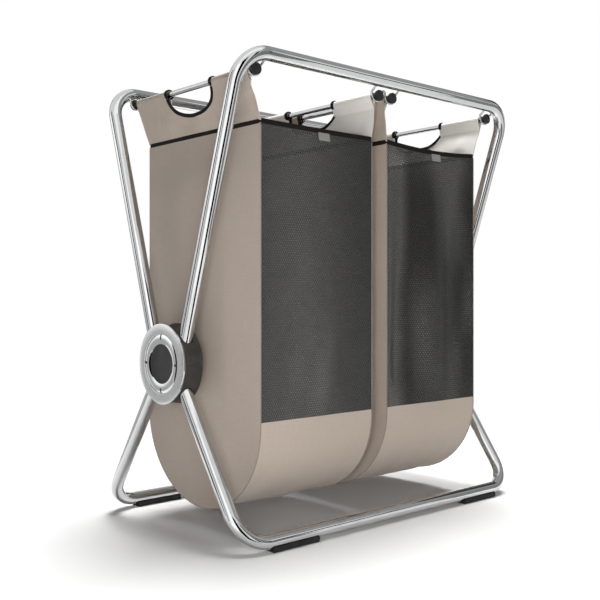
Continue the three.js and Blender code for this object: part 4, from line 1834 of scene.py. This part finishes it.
@dataclass
class Bag:
    """One fabric bin: net front and back, canvas sides and sling, flaps with sleeves, and rods."""

    side: Side
    frame: CrossedFrame
    outer_x: float = 0.229
    inner_x: float = 0.016
    half_depth: float = 0.136
    bottom_z: float = 0.027
    round_height: float = 0.128
    round_steps: int = 64
    net_bottom_z: float = 0.162
    hem_bottom_z: float = 0.557
    hem_top_z: float = 0.566
    hem_dips: Pair = (0.0008, 0.005)
    rod_z: float = 0.6255
    rod_radius: float = 0.004
    rod_half_length: float = 0.1457
    rod_steps: int = 36
    side_layer: float = 7.3
    cloth: float = 0.0012
    net_cloth: float = 0.0004
    net_cells: Cells = (54, 84)
    net_tuck: float = 0.003
    net_swell: float = 0.003
    net_swell_reach: float = 1.15
    net_folds: Pair = (0.011, 0.021)
    net_layer: float = 2.0
    net_ripples: Ripples = Ripples((14, 2.2), (33, 3.2), 0.3, 3.0)
    net_edge_hold: float = 0.035
    net_hem_flat: float = 0.012
    net_hem_hold: float = 0.09
    net_loose: Pair = (0.45, 0.35)
    sling_calm: Triple = (0.12, 0.07, 0.08)
    sling_cells: Cells = (54, 110)
    panel_cells: Cells = (56, 100)
    panel_layers: Pair = (11.0, 17.0)
    panel_ripples: Ripples = Ripples((17, 3.0), (38, 4.5), 0.45)
    panel_swell: float = 0.009
    panel_swell_reach: float = 0.13
    panel_fold: float = 0.002
    panel_seam_hold: float = 0.045
    panel_hem_hold: float = 0.08
    panel_round_share: float = 0.3
    piping_radius: float = 0.0008
    piping_cells: Cells = (10, 220)
    tape_out: float = 0.0009
    tape_in: float = 0.0021
    tape_height: float = 0.007
    tape_fullness: float = 0.45
    tape_cells: Cells = (16, 260)
    tape_look: float = 0.0015
    corner_radius: float = 0.004
    corner_steps: int = 5
    mouth_steps: int = 24
    sleeve_radius: float = 0.0059
    sleeve_overlap: float = 0.017
    flap_inset: float = 0.00075
    flap_fold: float = 0.006
    flap_layers: Pair = (23.0, 29.0)
    flap_ripples: Ripples = Ripples((21, 7), (46, 6), 0.6)
    flap_hold: float = 0.02
    flap_overlap_hold: float = 1.2
    flap_wing_cells: Cells = (22, 56)
    flap_middle_cells: Cells = (48, 24)
    handle_half_width: float = 0.053
    handle_rise: float = 0.030
    handle_round: float = 0.84
    handle_clear: float = 0.0065
    binding_half_width: float = 0.0028
    binding_half_thickness: float = 0.0015
    binding_fullness: float = 0.6
    binding_start: float = 0.11
    binding_look: float = 0.01
    binding_length: float = 0.15
    binding_cells: Cells = (14, 72)
    loop_half_width: float = 0.0027
    loop_half_thickness: float = 0.0012
    loop_radius: float = 0.0064
    loop_shift: float = 0.6
    loop_cells: Cells = (12, 40)
    label_from_left: float = 0.114
    label_width: float = 0.0215
    label_drop: float = 0.008
    label_stand: float = 0.0012
    label_curl: float = 0.0014
    label_bow: float = 0.0004
    label_thickness: float = 0.0003
    label_cells: Cells = (10, 10)
    disc_inner_y: float = 0.147
    disc_radius: float = 0.008
    disc_thickness: float = 0.004
    neck_radius: float = 0.0055
    neck_length: float = 0.0097
    cap_bore_radius: float = 0.0045
    cap_bore_floor: float = 0.001
    cap_rounding: float = 0.0007
    cap_steps: int = 40
    fold_keep: float = 0.18
    fold_clearance: float = 0.0038

    @property
    def word(self) -> str:
        """The bag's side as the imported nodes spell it."""
        return self.side.word

    @property
    def low_x(self) -> float:
        """The bag's left face."""
        return self.side.pick(-self.outer_x, self.inner_x)

    @property
    def width(self) -> float:
        """The bag's width along X."""
        return self.outer_x - self.inner_x

    @property
    def middle(self) -> Vector:
        """A place inside the bag."""
        return Vector((self.low_x + self.width / 2, 0, (self.hem_top_z + self.bottom_z) / 2))

    @property
    def round_centre_z(self) -> float:
        """The height at which the round bottom begins."""
        return self.bottom_z + self.round_height

    @property
    def net_height(self) -> float:
        """The distance from the top of the hem down to the net's lower edge."""
        return self.hem_top_z - self.net_bottom_z

    @property
    def tucked_z(self) -> float:
        """The height at which net and side panels end, inside the hem."""
        return self.hem_bottom_z + self.net_tuck

    @staticmethod
    def at_edge(edge: Edge, outer: float, inner: float) -> float:
        """The one of two values that belongs to an edge."""
        return outer if edge is Edge.OUTER else inner

    def face_x(self, edge: Edge) -> float:
        """The place along X of the outer or the inner side panel."""
        return self.side.value * self.at_edge(edge, self.outer_x, self.inner_x)

    def rod_x(self, edge: Edge) -> float:
        """The place along X of the outer or the inner rod."""
        return self.side.value * self.at_edge(edge, self.frame.outer_rod_x, self.frame.inner_rod_x)

    def waves(self, ripples: Ripples, first: float, second: float, layer: float) -> float:
        """The soft waves at a place of this bag's cloth."""
        return ripples.at(first, second, layer, self.side.value * self.side_layer)

    def strip_route(self) -> Route:
        """The section of net, sling and net, from the front hem to the rear hem."""
        places = [Vector((0, -self.half_depth, self.hem_top_z))]
        for step in range(self.round_steps + 1):
            turn = HALF_TURN * step / self.round_steps
            z = self.round_centre_z - self.round_height * math.sin(turn)
            places.append(Vector((0, -self.half_depth * math.cos(turn), z)))
        places.append(Vector((0, self.half_depth, self.hem_top_z)))
        return Route(places)

    def strip_swell(self, share_across: float, down: float) -> float:
        """How far net or sling stands out at a share across it and a distance down from the hem.

        Args:
            share_across: The share of the bag's width.
            down: The distance from the hem along the cloth.

        Returns:
            The distance outwards.
        """
        x = share_across * self.width
        from_edge = min(share_across, 1 - share_across) * self.width
        share_down = min(1.0, down / (self.net_height * self.net_swell_reach))
        round_bulge = math.sin(HALF_TURN * share_across) * math.sin(HALF_TURN * share_down)
        calm_share, calm_above, calm_reach = self.sling_calm
        calm = between(1.0, calm_share, faded(down - self.net_height + calm_above, calm_reach))
        hem_hold = faded(down - self.net_hem_flat, self.net_hem_hold)
        held = faded(from_edge, self.net_edge_hold) * hem_hold * calm
        loose_share, loose_reach = self.net_loose
        loose = between(loose_share, 1.0, faded(down, loose_reach))
        waves = self.waves(self.net_ripples, x, down, self.net_layer)
        fold = self.side.pick(*self.net_folds)
        return self.net_swell * round_bulge * calm + fold * waves * held * loose

    def hem_drop(self, share_across: float) -> float:
        """How far the hem hangs down at a share across the front or rear."""
        return self.side.pick(*self.hem_dips) * 4 * share_across * (1 - share_across)

    def net(self, end: End) -> Piece:
        """The front or rear net.

        Args:
            end: Whether it is at the front or the rear.

        Returns:
            The net.
        """
        def place(across: float, up: float) -> Vector:
            """The place at a share across the net and a share up it."""
            z = between(self.net_bottom_z, self.tucked_z, up)
            y = self.half_depth + self.strip_swell(across, self.hem_top_z - z)
            drop = self.hem_drop(across) * up ** 3
            return Vector((self.low_x + self.width * across, end.value * y, z - drop))

        return sewn_sheet(
            f"{self.word}_{end.word}_net_cloth", self.net_cells, place,
            laid(self.width, self.tucked_z - self.net_bottom_z), self.middle, self.net_cloth, NETS[self.side])

    def sling(self) -> Piece:
        """The canvas that runs under the bag from the front net to the rear net."""
        route = self.strip_route()
        net_share = self.net_height / route.length

        def place(across: float, on: float) -> Vector:
            """The place at a share across the sling and a share along it."""
            share = between(net_share, 1 - net_share, on)
            down = min(share, 1 - share) * route.length
            spot = route.at(share) + route.outward(share) * self.strip_swell(across, down)
            spot.x = self.low_x + self.width * across
            return spot

        return sewn_sheet(
            f"{self.word}_bag_sling_canvas", self.sling_cells, place,
            laid(self.width, route.length * (1 - 2 * net_share)), self.middle, self.cloth, CANVAS, LINING)

    def side_panel(self, edge: Edge) -> Piece:
        """The outer or inner side panel, with a round lower edge.

        Args:
            edge: Whether it is the outer or the inner one.

        Returns:
            The lined panel.
        """
        face = self.face_x(edge)
        out = math.copysign(1.0, face - self.middle.x)
        top = self.tucked_z
        layer = self.at_edge(edge, *self.panel_layers)
        round_share = self.panel_round_share

        def spot(across: float, up: float) -> Triple:
            """The place in Y and Z, and the distance from the seam."""
            wide = across * 2 - 1
            if up >= round_share:
                z = between(self.round_centre_z, top, (up - round_share) / (1 - round_share))
                return wide * self.half_depth, z, (1 - abs(wide)) * self.half_depth
            low = up / round_share - 1
            y_share = wide * math.sqrt(1 - low * low / 2)
            z_share = low * math.sqrt(1 - wide * wide / 2)
            from_seam = (1 - math.hypot(y_share, z_share)) * self.round_height
            return y_share * self.half_depth, self.round_centre_z + z_share * self.round_height, from_seam

        def place(across: float, up: float) -> Vector:
            """The place at a share across the panel and a share up it."""
            y, z, from_seam = spot(across, up)
            held = faded(from_seam, self.panel_seam_hold) * faded(top - z, self.panel_hem_hold)
            bulge = self.panel_swell * faded(from_seam, self.panel_swell_reach)
            waves = self.waves(self.panel_ripples, y, z, layer)
            return Vector((face + out * (bulge + self.panel_fold * waves) * held, y, z))

        def lay(across: float, up: float) -> Pair:
            """The cloth coordinates in metres."""
            y, z, _ = spot(across, up)
            return y + self.half_depth, z

        return sewn_sheet(
            f"{self.word}_bag_{edge.value}_canvas", self.panel_cells, place, lay,
            self.middle, self.cloth, CANVAS, LINING)

    def piping(self, edge: Edge) -> Piece:
        """The thin welt along the seam between a side panel and net and sling.

        Args:
            edge: Whether the panel is the outer or the inner one.

        Returns:
            The closed welt.
        """
        route = self.strip_route()
        x = self.face_x(edge)
        seam_x = x + math.copysign(self.cloth / 2, self.middle.x - x)
        start = (self.hem_top_z - self.hem_bottom_z) / route.length
        radius = self.piping_radius

        def place(round_share: float, on: float) -> Vector:
            """The place at a share round the welt and a share along it."""
            share = between(start, 1 - start, on)
            spot = route.at(share)
            across, up = rounded_section(radius, radius, round_share)
            return Vector((seam_x, spot.y, spot.z)) + Vector((across, 0, 0)) + route.outward(share) * up

        piece = rolled_strip(
            f"{self.word}_bag_{edge.value}_welt", self.piping_cells, place,
            laid(FULL_TURN * radius, route.length))
        Bench.smooth(piece, SOFT_DEGREES)
        return dress(piece, PIPING)

    def mouth_route(self) -> Route:
        """The rounded rectangle of the bag's mouth, with the hem's dip in front and behind."""
        bend = self.corner_radius
        left, right = self.low_x + bend, self.low_x + self.width - bend
        front, rear = bend - self.half_depth, self.half_depth - bend
        forth = [step / self.mouth_steps for step in range(self.mouth_steps + 1)]
        back = [1 - share for share in forth]

        def straight(y: float, shares: Sequence[float]) -> list[Vector]:
            """The mouth's front or rear."""
            return [Vector((between(left, right, share), y, -self.hem_drop(share))) for share in shares]

        def corner(x: float, y: float, start: float) -> list[Vector]:
            """A quarter turn about a place, counted from an angle."""
            turns = [start + HALF_TURN / 2 * at / self.corner_steps for at in range(1, self.corner_steps)]
            return [Vector((x + bend * math.cos(turn), y + bend * math.sin(turn), 0)) for turn in turns]

        places = [
            *straight(-self.half_depth, forth),
            *corner(right, front, -HALF_TURN / 2),
            *corner(right, rear, 0.0),
            *straight(self.half_depth, back),
            *corner(left, rear, HALF_TURN / 2),
            *corner(left, front, HALF_TURN),
        ]
        return Route([*places, places[0].copy()])

    def hem_tape(self) -> Piece:
        """The black tape folded over the bag's upper edge."""
        route = self.mouth_route()
        half_thick = (self.tape_out + self.tape_in) / 2
        middle_z = self.hem_top_z - self.tape_height / 2

        def place(round_share: float, on: float) -> Vector:
            """The place at a share round the tape's section and a share along it."""
            ahead = route.at((on + self.tape_look) % 1.0) - route.at((on - self.tape_look) % 1.0)
            ahead.z = 0
            ahead.normalize()
            out = Vector((ahead.y, -ahead.x, 0))
            up, thick = rounded_section(self.tape_height / 2, half_thick, round_share, self.tape_fullness)
            shift = thick + self.tape_out - half_thick
            return route.at(on % 1.0) + out * shift + Vector((0, 0, middle_z + up))

        piece = rolled_strip(
            f"{self.word}_bag_hem_edging", self.tape_cells, place, laid_round(self.tape_height, route.length))
        Bench.smooth(piece, TAPE_DEGREES)
        return dress(piece, TAPE)

    def flap_line(self, edge: Edge) -> FlapLine:
        """The front view of one flap.

        Args:
            edge: Whether it is the outer or the inner one.

        Returns:
            Its foot, rod and sleeve.
        """
        face = self.face_x(edge)
        inset = math.copysign(self.flap_inset - self.cloth / 2, self.middle.x - face)
        foot = Vector((face + inset, self.hem_top_z - self.net_tuck))
        rod = Vector((self.rod_x(edge), self.rod_z))
        return FlapLine(foot, rod, self.sleeve_radius, self.sleeve_overlap, self.cloth * 2)

    def opening_height(self, line: FlapLine, y: float) -> float:
        """How far up the sheet the hand opening's edge is at a place along Y.

        Args:
            line: The flap's front view.
            y: The place along Y.

        Returns:
            The distance from the flap's foot.
        """
        across = min(1.0, abs(y) / self.handle_half_width)
        deep = line.length - self.handle_rise
        down = (1 - across ** (2 / self.handle_round)) ** (self.handle_round / 2)
        return min(line.length - deep * down, line.length - self.handle_clear)

    def flap_spot(self, line: FlapLine, edge: Edge, spot: Vector, y: float, height: float) -> Vector:
        """A place of a flap's section, moved by the flap's soft folds if it is on the sheet.

        Args:
            line: The flap's front view.
            edge: Whether the flap is the outer or the inner one.
            spot: The place in the front view, as X and Z.
            y: The place along Y.
            height: The distance up the flap.

        Returns:
            The place of the cloth.
        """
        flat = Vector((spot.x, y, spot.z))
        if height >= line.sheet_length:
            return flat
        to_seam = line.sheet_length - line.overlap * self.flap_overlap_hold - height
        held = faded(height, self.flap_hold) * faded(to_seam, self.flap_hold)
        waves = self.waves(self.flap_ripples, y, height, self.at_edge(edge, *self.flap_layers))
        return flat + upright(line.outward * (self.flap_fold * waves * held))

    def flap(self, edge: Edge) -> Piece:
        """One flap: a sheet with a hand opening, and a sleeve on each side of it.

        Args:
            edge: Whether it is the outer or the inner one.

        Returns:
            The joined flap.
        """
        line = self.flap_line(edge)
        parts = [self.flap_wing(edge, line, way) for way in (-1, 1)]
        parts.append(self.flap_middle(edge, line))
        for part in parts:
            thicken(part, self.cloth)
        piece = Bench.join(parts, f"{self.word}_bag_{edge.value}_flap_canvas")
        Bench.smooth(piece, SOFT_DEGREES)
        return piece

    def flap_part(self, name: str, cells: Cells, place: Place, lay: Lay, line: FlapLine) -> Piece:
        """One open sheet of a flap, whose lower part looks the way that the flap leans.

        Args:
            name: The part's name.
            cells: The number of cells across and along.
            place: Gives the place of each share across and along.
            lay: Gives the cloth coordinates of each share.
            line: The flap's front view.

        Returns:
            The open part, with a finish for each face.
        """
        part = woven_grid(name, cells, place, lay)
        lowest = min(part.data.polygons, key=lambda face: face.center.z)
        if lowest.normal.dot(upright(line.outward)) < 0:
            Bench.flip(part)
        return dress(part, CANVAS, LINING)

    def flap_wing(self, edge: Edge, line: FlapLine, way: int) -> Piece:
        """The part of a flap beside its hand opening, with its sleeve.

        Args:
            edge: Whether the flap is the outer or the inner one.
            line: The flap's front view.
            way: -1 for the front part and 1 for the rear part.

        Returns:
            The open part, with its lining outside from the top of the rod on.
        """
        route, top_share = line.wrap()

        def spread(across: float) -> float:
            """The place along Y at a share across the part."""
            return way * between(self.handle_half_width, self.half_depth, across)

        def place(across: float, up: float) -> Vector:
            """The place at a share across the part and a share along its section."""
            return self.flap_spot(line, edge, route.at(up), spread(across), up * route.length)

        def lay(across: float, up: float) -> Pair:
            """The cloth coordinates in metres."""
            return spread(across), route.length * up

        part = self.flap_part("flap_wing", self.flap_wing_cells, place, lay, line)
        layer = part.data.uv_layers.active.data
        for face in part.data.polygons:
            reached = sum(layer[at].uv.y for at in face.loop_indices)
            share = reached / (len(face.loop_indices) * route.length)
            face.material_index = 1 if share > top_share else 0
        return part

    def flap_middle(self, edge: Edge, line: FlapLine) -> Piece:
        """The part of a flap under its hand opening.

        Args:
            edge: Whether it is the outer or the inner one.
            line: The flap's front view.

        Returns:
            The open part.
        """
        def spot(across: float, up: float) -> Pair:
            """The place along Y, closer together near the ends, and the distance up the sheet."""
            y = self.handle_half_width * math.sin((across - 0.5) * HALF_TURN)
            return y, self.opening_height(line, y) * up

        def place(across: float, up: float) -> Vector:
            """The place at a share across the part and a share up it."""
            y, height = spot(across, up)
            return self.flap_spot(line, edge, upright(line.sheet_at(height)), y, height)

        return self.flap_part("flap_middle", self.flap_middle_cells, place, spot, line)

    def handle_tape(self, edge: Edge) -> Piece:
        """The black tape round a hand opening, looped round the ends of the sleeve.

        Args:
            edge: Whether it is the outer or the inner one.

        Returns:
            The tape with both its loops.
        """
        line = self.flap_line(edge)
        out, up_sheet = upright(line.outward), upright(line.ahead)
        middle_shift = out * (-self.cloth / 2)
        deep = line.length - self.handle_rise

        def edge_place(turn: float) -> Vector:
            """The opening's edge at an angle: the place along Y and up the sheet."""
            across = abs(math.cos(turn)) ** self.handle_round
            down = math.sin(turn) ** self.handle_round
            y = math.copysign(self.handle_half_width * across, math.cos(turn))
            return Vector((y, line.length - deep * down))

        def place(round_share: float, on: float) -> Vector:
            """The place at a share round the tape's section and a share along it."""
            turn = between(self.binding_start, HALF_TURN - self.binding_start, on)
            y, height = edge_place(turn)
            ahead, behind = edge_place(turn + self.binding_look), edge_place(turn - self.binding_look)
            along = (ahead - behind).normalized()
            into = Vector((along.y, -along.x))
            if into.dot(Vector((y, height - line.length))) < 0:
                into = -into
            half_wide, half_thick = self.binding_half_width, self.binding_half_thickness
            across, thick = rounded_section(half_wide, half_thick, round_share, self.binding_fullness)
            shift = across + half_wide - half_thick / 2
            middle = self.flap_spot(line, edge, upright(line.sheet_at(height)), y, height) + middle_shift
            return middle + REARWARD * (into.x * shift) + up_sheet * (into.y * shift) + out * thick

        lay = laid_round(self.binding_half_width * 2, self.binding_length)
        tape = rolled_strip("handle_tape", self.binding_cells, place, lay)
        parts = [tape, self.rod_loop(edge, -1), self.rod_loop(edge, 1)]
        piece = Bench.join(parts, f"{self.word}_bag_{edge.value}_handle_tape")
        Bench.smooth(piece, TAPE_DEGREES)
        return dress(piece, TAPE)

    def rod_loop(self, edge: Edge, way: int) -> Piece:
        """The loop of tape round one end of a sleeve.

        Args:
            edge: Whether it is the outer or the inner one.
            way: -1 for the front end and 1 for the rear end.

        Returns:
            The closed loop.
        """
        half_wide, half_thick = self.loop_half_width, self.loop_half_thickness
        middle_y = way * (self.handle_half_width + half_wide * self.loop_shift)
        middle = Vector((self.rod_x(edge), middle_y, self.rod_z))

        def place(round_share: float, on: float) -> Vector:
            """The place at a share round the loop's section and a share round the rod."""
            turn = FULL_TURN * on
            spoke = Vector((math.cos(turn), 0, math.sin(turn)))
            across, thick = rounded_section(half_wide, half_thick, round_share, self.binding_fullness)
            return middle + spoke * (self.loop_radius + thick) + REARWARD * across

        lay = laid_round(half_wide * 2, FULL_TURN * self.loop_radius)
        return rolled_strip("rod_loop", self.loop_cells, place, lay)

    def label(self) -> Piece:
        """The small bare label that hangs from the front hem."""
        left = self.low_x + self.label_from_left - self.label_width / 2

        def place(across: float, down: float) -> Vector:
            """The place at a share across the label and a share down it."""
            x = left + self.label_width * across
            share = (x - self.low_x) / self.width
            z = self.tucked_z - self.hem_drop(share) - (self.label_drop + self.net_tuck) * down
            swell = self.strip_swell(share, self.hem_top_z - z)
            bow = self.label_bow * math.sin(across * HALF_TURN)
            stand = self.label_stand + self.label_curl * down ** 2 + bow
            return Vector((x, -self.half_depth - swell - stand, z))

        return sewn_sheet(
            f"{self.word}_bag_bare_label", self.label_cells, place, laid(self.label_width, self.label_drop),
            self.middle, self.label_thickness, LABEL)

    def rod(self, edge: Edge) -> Piece:
        """One rod.

        Args:
            edge: Whether it is the outer or the inner one.

        Returns:
            The closed bar.
        """
        radius, reach = self.rod_radius, self.rod_half_length
        return turn_outline(
            f"{self.word}_{edge.value}_rod_bar",
            ((0, -reach), (radius, -reach), (radius, reach), (0, reach)),
            Vector((self.rod_x(edge), 0, self.rod_z)), REARWARD, self.rod_steps, self.cap_rounding / 2,
            ROD_METAL)

    def cap(self, edge: Edge, end: End) -> Piece:
        """The black cap on one end of a rod: a neck inside the sleeve's end and a round disc.

        Args:
            edge: Whether the rod is the outer or the inner one.
            end: Whether it is at the front or the rear.

        Returns:
            The closed cap.
        """
        disc = self.disc_inner_y
        bore_floor, neck_start = disc - self.cap_bore_floor, disc - self.neck_length
        outline = (
            (0, bore_floor),
            (self.cap_bore_radius, bore_floor),
            (self.cap_bore_radius, neck_start),
            (self.neck_radius, neck_start),
            (self.neck_radius, disc),
            (self.disc_radius, disc),
            (self.disc_radius, disc + self.disc_thickness),
            (0, disc + self.disc_thickness),
        )
        return turn_outline(
            f"{self.word}_{edge.value}_rod_{end.word}_knob", outline,
            Vector((self.rod_x(edge), 0, self.rod_z)), Vector((0, end.value, 0)), self.cap_steps,
            self.cap_rounding, BLACK_PLASTIC)

    def build(self, outfit: Outfit) -> None:
        """Build every part of the bag, and hand them to the frame.

        Args:
            outfit: Takes the finished pieces.
        """
        body = self.side.bag_body
        bag = f"{self.word}_bag"
        cloths = [
            outfit.add(self.net(End.FRONT), body, Slot.NET, f"{bag}_front_mesh"),
            outfit.add(self.net(End.REAR), body, Slot.NET, f"{bag}_back_mesh"),
            outfit.add(self.sling(), body, Slot.CANVAS, f"{bag}_bottom_sling"),
            outfit.add(self.hem_tape(), body, Slot.TAPE, f"{bag}_hem_tape"),
            outfit.add(self.label(), body, Slot.PALE),
        ]
        for edge in Edge:
            binding, rod = f"{self.word}_{edge.value}_handle_binding", f"{self.word}_{edge.value}_rod"
            cloths += [
                outfit.add(self.side_panel(edge), body, Slot.CANVAS, f"{bag}_{edge.value}_side"),
                outfit.add(self.piping(edge), body, Slot.PALE),
                outfit.add(self.flap(edge), body, Slot.PALE, f"{bag}_{edge.value}_flap"),
                outfit.add(self.handle_tape(edge), body, Slot.TAPE, binding),
            ]
            outfit.add(self.rod(edge), body, Slot.STEEL, rod)
            for end in End:
                outfit.add(self.cap(edge, end), body, Slot.BLACK, f"{rod}_{end.word}_cap")
        for piece in cloths:
            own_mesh(piece)


# The studio

@dataclass(frozen=True)
class GlossStrip:
    """An upright strip of studio wall, for gloss alone, that may run in over the floor.

    Azimuths are in degrees from the rear of the hamper, towards its right side.
    """

    azimuth: float
    width: float
    foot_tone: float
    head_tone: float
    foot_z: float = 0.0005
    head_z: float = 2.6
    on_floor: bool = True
    floor_start: float = 0.72


@dataclass(frozen=True)
class GlossCeiling:
    """A level card overhead, for gloss alone."""

    x_range: Pair
    y_range: Pair
    tone: float


@dataclass(frozen=True)
class PanelLamp:
    """A square soft light that looks at a place."""

    name: str
    place: Triple
    target: Triple
    size: float
    watts: float


@dataclass
class Studio:
    """The floor, the lights and the camera, none of which are part of the object."""

    camera_place: Triple = (-0.96, -1.0333, 0.3331)
    camera_yaw: float = 41.753
    camera_pitch: float = 0.02
    camera_lens: float = 52.52
    camera_sensor: float = 36.0
    camera_shift_y: float = -0.0107
    camera_near: float = 0.01
    sky_light: float = 0.04
    floor_size: float = 16.0
    floor_drop: float = 0.0002
    lamps: tuple[PanelLamp, ...] = (
        PanelLamp("top_panel", (0.45, 0.3, 2.6), (0.0, 0.0, 0.0), 1.5, 130.0),
        PanelLamp("camera_side_panel", (-0.85, -0.85, 0.27), (-0.1, -0.1, 0.34), 0.4, 7.0),
        PanelLamp("right_panel", (2.2, -3.2, 0.6), (0.1, 0.0, 0.3), 1.2, 28.0),
    )
    ring_centre: Pair = (-0.2, -0.1)
    ring_radius: float = 3.2
    strip_cells: Cells = (4, 2)
    strips: tuple[GlossStrip, ...] = (
        GlossStrip(236, 36, 1.6, 1.7),
        GlossStrip(203, 27, 0.0, 0.0, floor_start=0.16),
        GlossStrip(166, 9, 0.02, 0.02),
        GlossStrip(150, 20, 0.25, 0.35),
        GlossStrip(137, 20, 0.03, 0.03, 0.9, 1.4, False),
        GlossStrip(112, 30, 0.3, 0.3, 0.0005, 1.6, False),
        GlossStrip(90, 24, 0.05, 0.05, 1.4, 2.7, False),
        GlossStrip(68, 20, 0.06, 0.1),
        GlossStrip(12, 36, 0.12, 0.2),
        GlossStrip(324, 34, 0.5, 1.7, head_z=1.4),
        GlossStrip(298, 14, 0.0, 0.0),
        GlossStrip(272, 10, 0.4, 0.5),
    )
    ceilings: tuple[GlossCeiling, ...] = (
        GlossCeiling((0.8, 5.0), (-3.0, 3.0), 0.42),
        GlossCeiling((-3.4, 0.6), (-2.0, -0.6), 1.4),
    )
    ceiling_z: float = 2.9

    def build(self) -> None:
        """Make the camera, the surround, the floor, the lamps and the cards for gloss."""
        bpy.context.scene.view_settings.view_transform = "Standard"
        self.camera()
        self.sky()
        self.floor()
        for lamp in self.lamps:
            self.lamp(lamp)
        for at, strip in enumerate(self.strips):
            self.strip(f"gloss_strip_{at}", strip)
        for at, ceiling in enumerate(self.ceilings):
            self.ceiling(f"gloss_ceiling_{at}", ceiling)

    def camera(self) -> None:
        """The camera, at the photograph's place."""
        made = bpy.data.cameras.new("photo_camera")
        made.lens = self.camera_lens
        made.sensor_width = self.camera_sensor
        made.shift_y = self.camera_shift_y
        made.clip_start = self.camera_near
        stand = bpy.data.objects.new("photo_camera", made)
        stand.location = self.camera_place
        stand.rotation_euler = (math.radians(90 + self.camera_pitch), 0, -math.radians(self.camera_yaw))
        bpy.context.scene.collection.objects.link(stand)
        bpy.context.scene.camera = stand

    def sky(self) -> None:
        """A white surround for the camera and for gloss, and a plain soft light for all else."""
        world = bpy.data.worlds.new("studio_surround")
        world.use_nodes = True
        bpy.context.scene.world = world
        sheet = NodeSheet(world.node_tree)
        level = sheet.seen_directly() * (1 - self.sky_light) + self.sky_light
        back = sheet.value("ShaderNodeBackground", 0, {"Color": WHITE, "Strength": level})
        sheet.show(back, "ShaderNodeOutputWorld")

    def floor(self) -> None:
        """The paper floor."""
        Bench.clear()
        bpy.ops.mesh.primitive_plane_add(size=self.floor_size, location=(0, 0, -self.floor_drop))
        dress(Bench.started("studio_floor"), FloorPaper("studio_floor_paper"))

    def lamp(self, lamp: PanelLamp) -> None:
        """One soft light, which neither the camera nor gloss sees.

        Args:
            lamp: Its place, aim, size and power.
        """
        made = bpy.data.lights.new(lamp.name, "AREA")
        made.size = lamp.size
        made.energy = lamp.watts
        stand = bpy.data.objects.new(lamp.name, made)
        stand.location = lamp.place
        way = Vector(lamp.target) - Vector(lamp.place)
        stand.rotation_euler = way.to_track_quat("-Z", "Y").to_euler()
        stand.visible_camera = False
        stand.visible_glossy = False
        bpy.context.scene.collection.objects.link(stand)

    def strip(self, name: str, strip: GlossStrip) -> None:
        """A strip of floor and wall that faces the object, darker or lighter towards its foot.

        Args:
            name: The card's name.
            strip: Where it is and how light.
        """
        start = strip.floor_start if strip.on_floor else self.ring_radius
        outline = ((start, strip.foot_z), (self.ring_radius, strip.foot_z), (self.ring_radius, strip.head_z))

        def place(across: float, on: float) -> Vector:
            """The place at a share across the strip and a share along its outline."""
            turn = math.radians(strip.azimuth + (across - 0.5) * strip.width)
            radius, z = outline[round(on * 2)]
            centre_x, centre_y = self.ring_centre
            return Vector((centre_x + radius * math.sin(turn), centre_y + radius * math.cos(turn), z))

        look = GlossCard(name, strip.foot_tone, strip.head_tone, strip.foot_z, strip.head_z)
        self.for_gloss_alone(woven_grid(name, self.strip_cells, place, laid(1, 1)), look)

    def ceiling(self, name: str, ceiling: GlossCeiling) -> None:
        """A level card overhead.

        Args:
            name: The card's name.
            ceiling: Where it is and how light.
        """
        def place(across: float, along: float) -> Vector:
            """The place at two shares of the card."""
            x, y = between(*ceiling.x_range, across), between(*ceiling.y_range, along)
            return Vector((x, y, self.ceiling_z))

        look = GlossCard(name, ceiling.tone, ceiling.tone, 0, self.ceiling_z)
        self.for_gloss_alone(woven_grid(name, (1, 1), place, laid(1, 1)), look)

    def for_gloss_alone(self, card: Piece, look: GlossCard) -> None:
        """Let only reflections see a card.

        Args:
            card: The card.
            look: Its glow.
        """
        dress(card, look)
        card.visible_camera = False
        card.visible_diffuse = False
        card.visible_shadow = False
        card.visible_transmission = False


def dress_inner_parts(frame: dict) -> None:
    """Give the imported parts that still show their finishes."""
    for side in Side:
        for slot in frame["nodes"][f"{side.word}_hub_pivot_bolt"].material_slots:
            slot.material = STEEL.material()


def main() -> None:
    """Build the whole scene in order."""
    logging.basicConfig(level=logging.INFO)
    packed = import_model()
    outfit = Outfit()
    Studio().build()
    frame = CrossedFrame()
    frame.build(outfit)
    for side in Side:
        Hub(side, frame).build(outfit)
    for side in Side:
        Bag(side, frame).build(outfit)
    dress_inner_parts(packed)
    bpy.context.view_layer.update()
    log.info("built %d pieces", outfit.count)


if __name__ == "__main__":
    main()
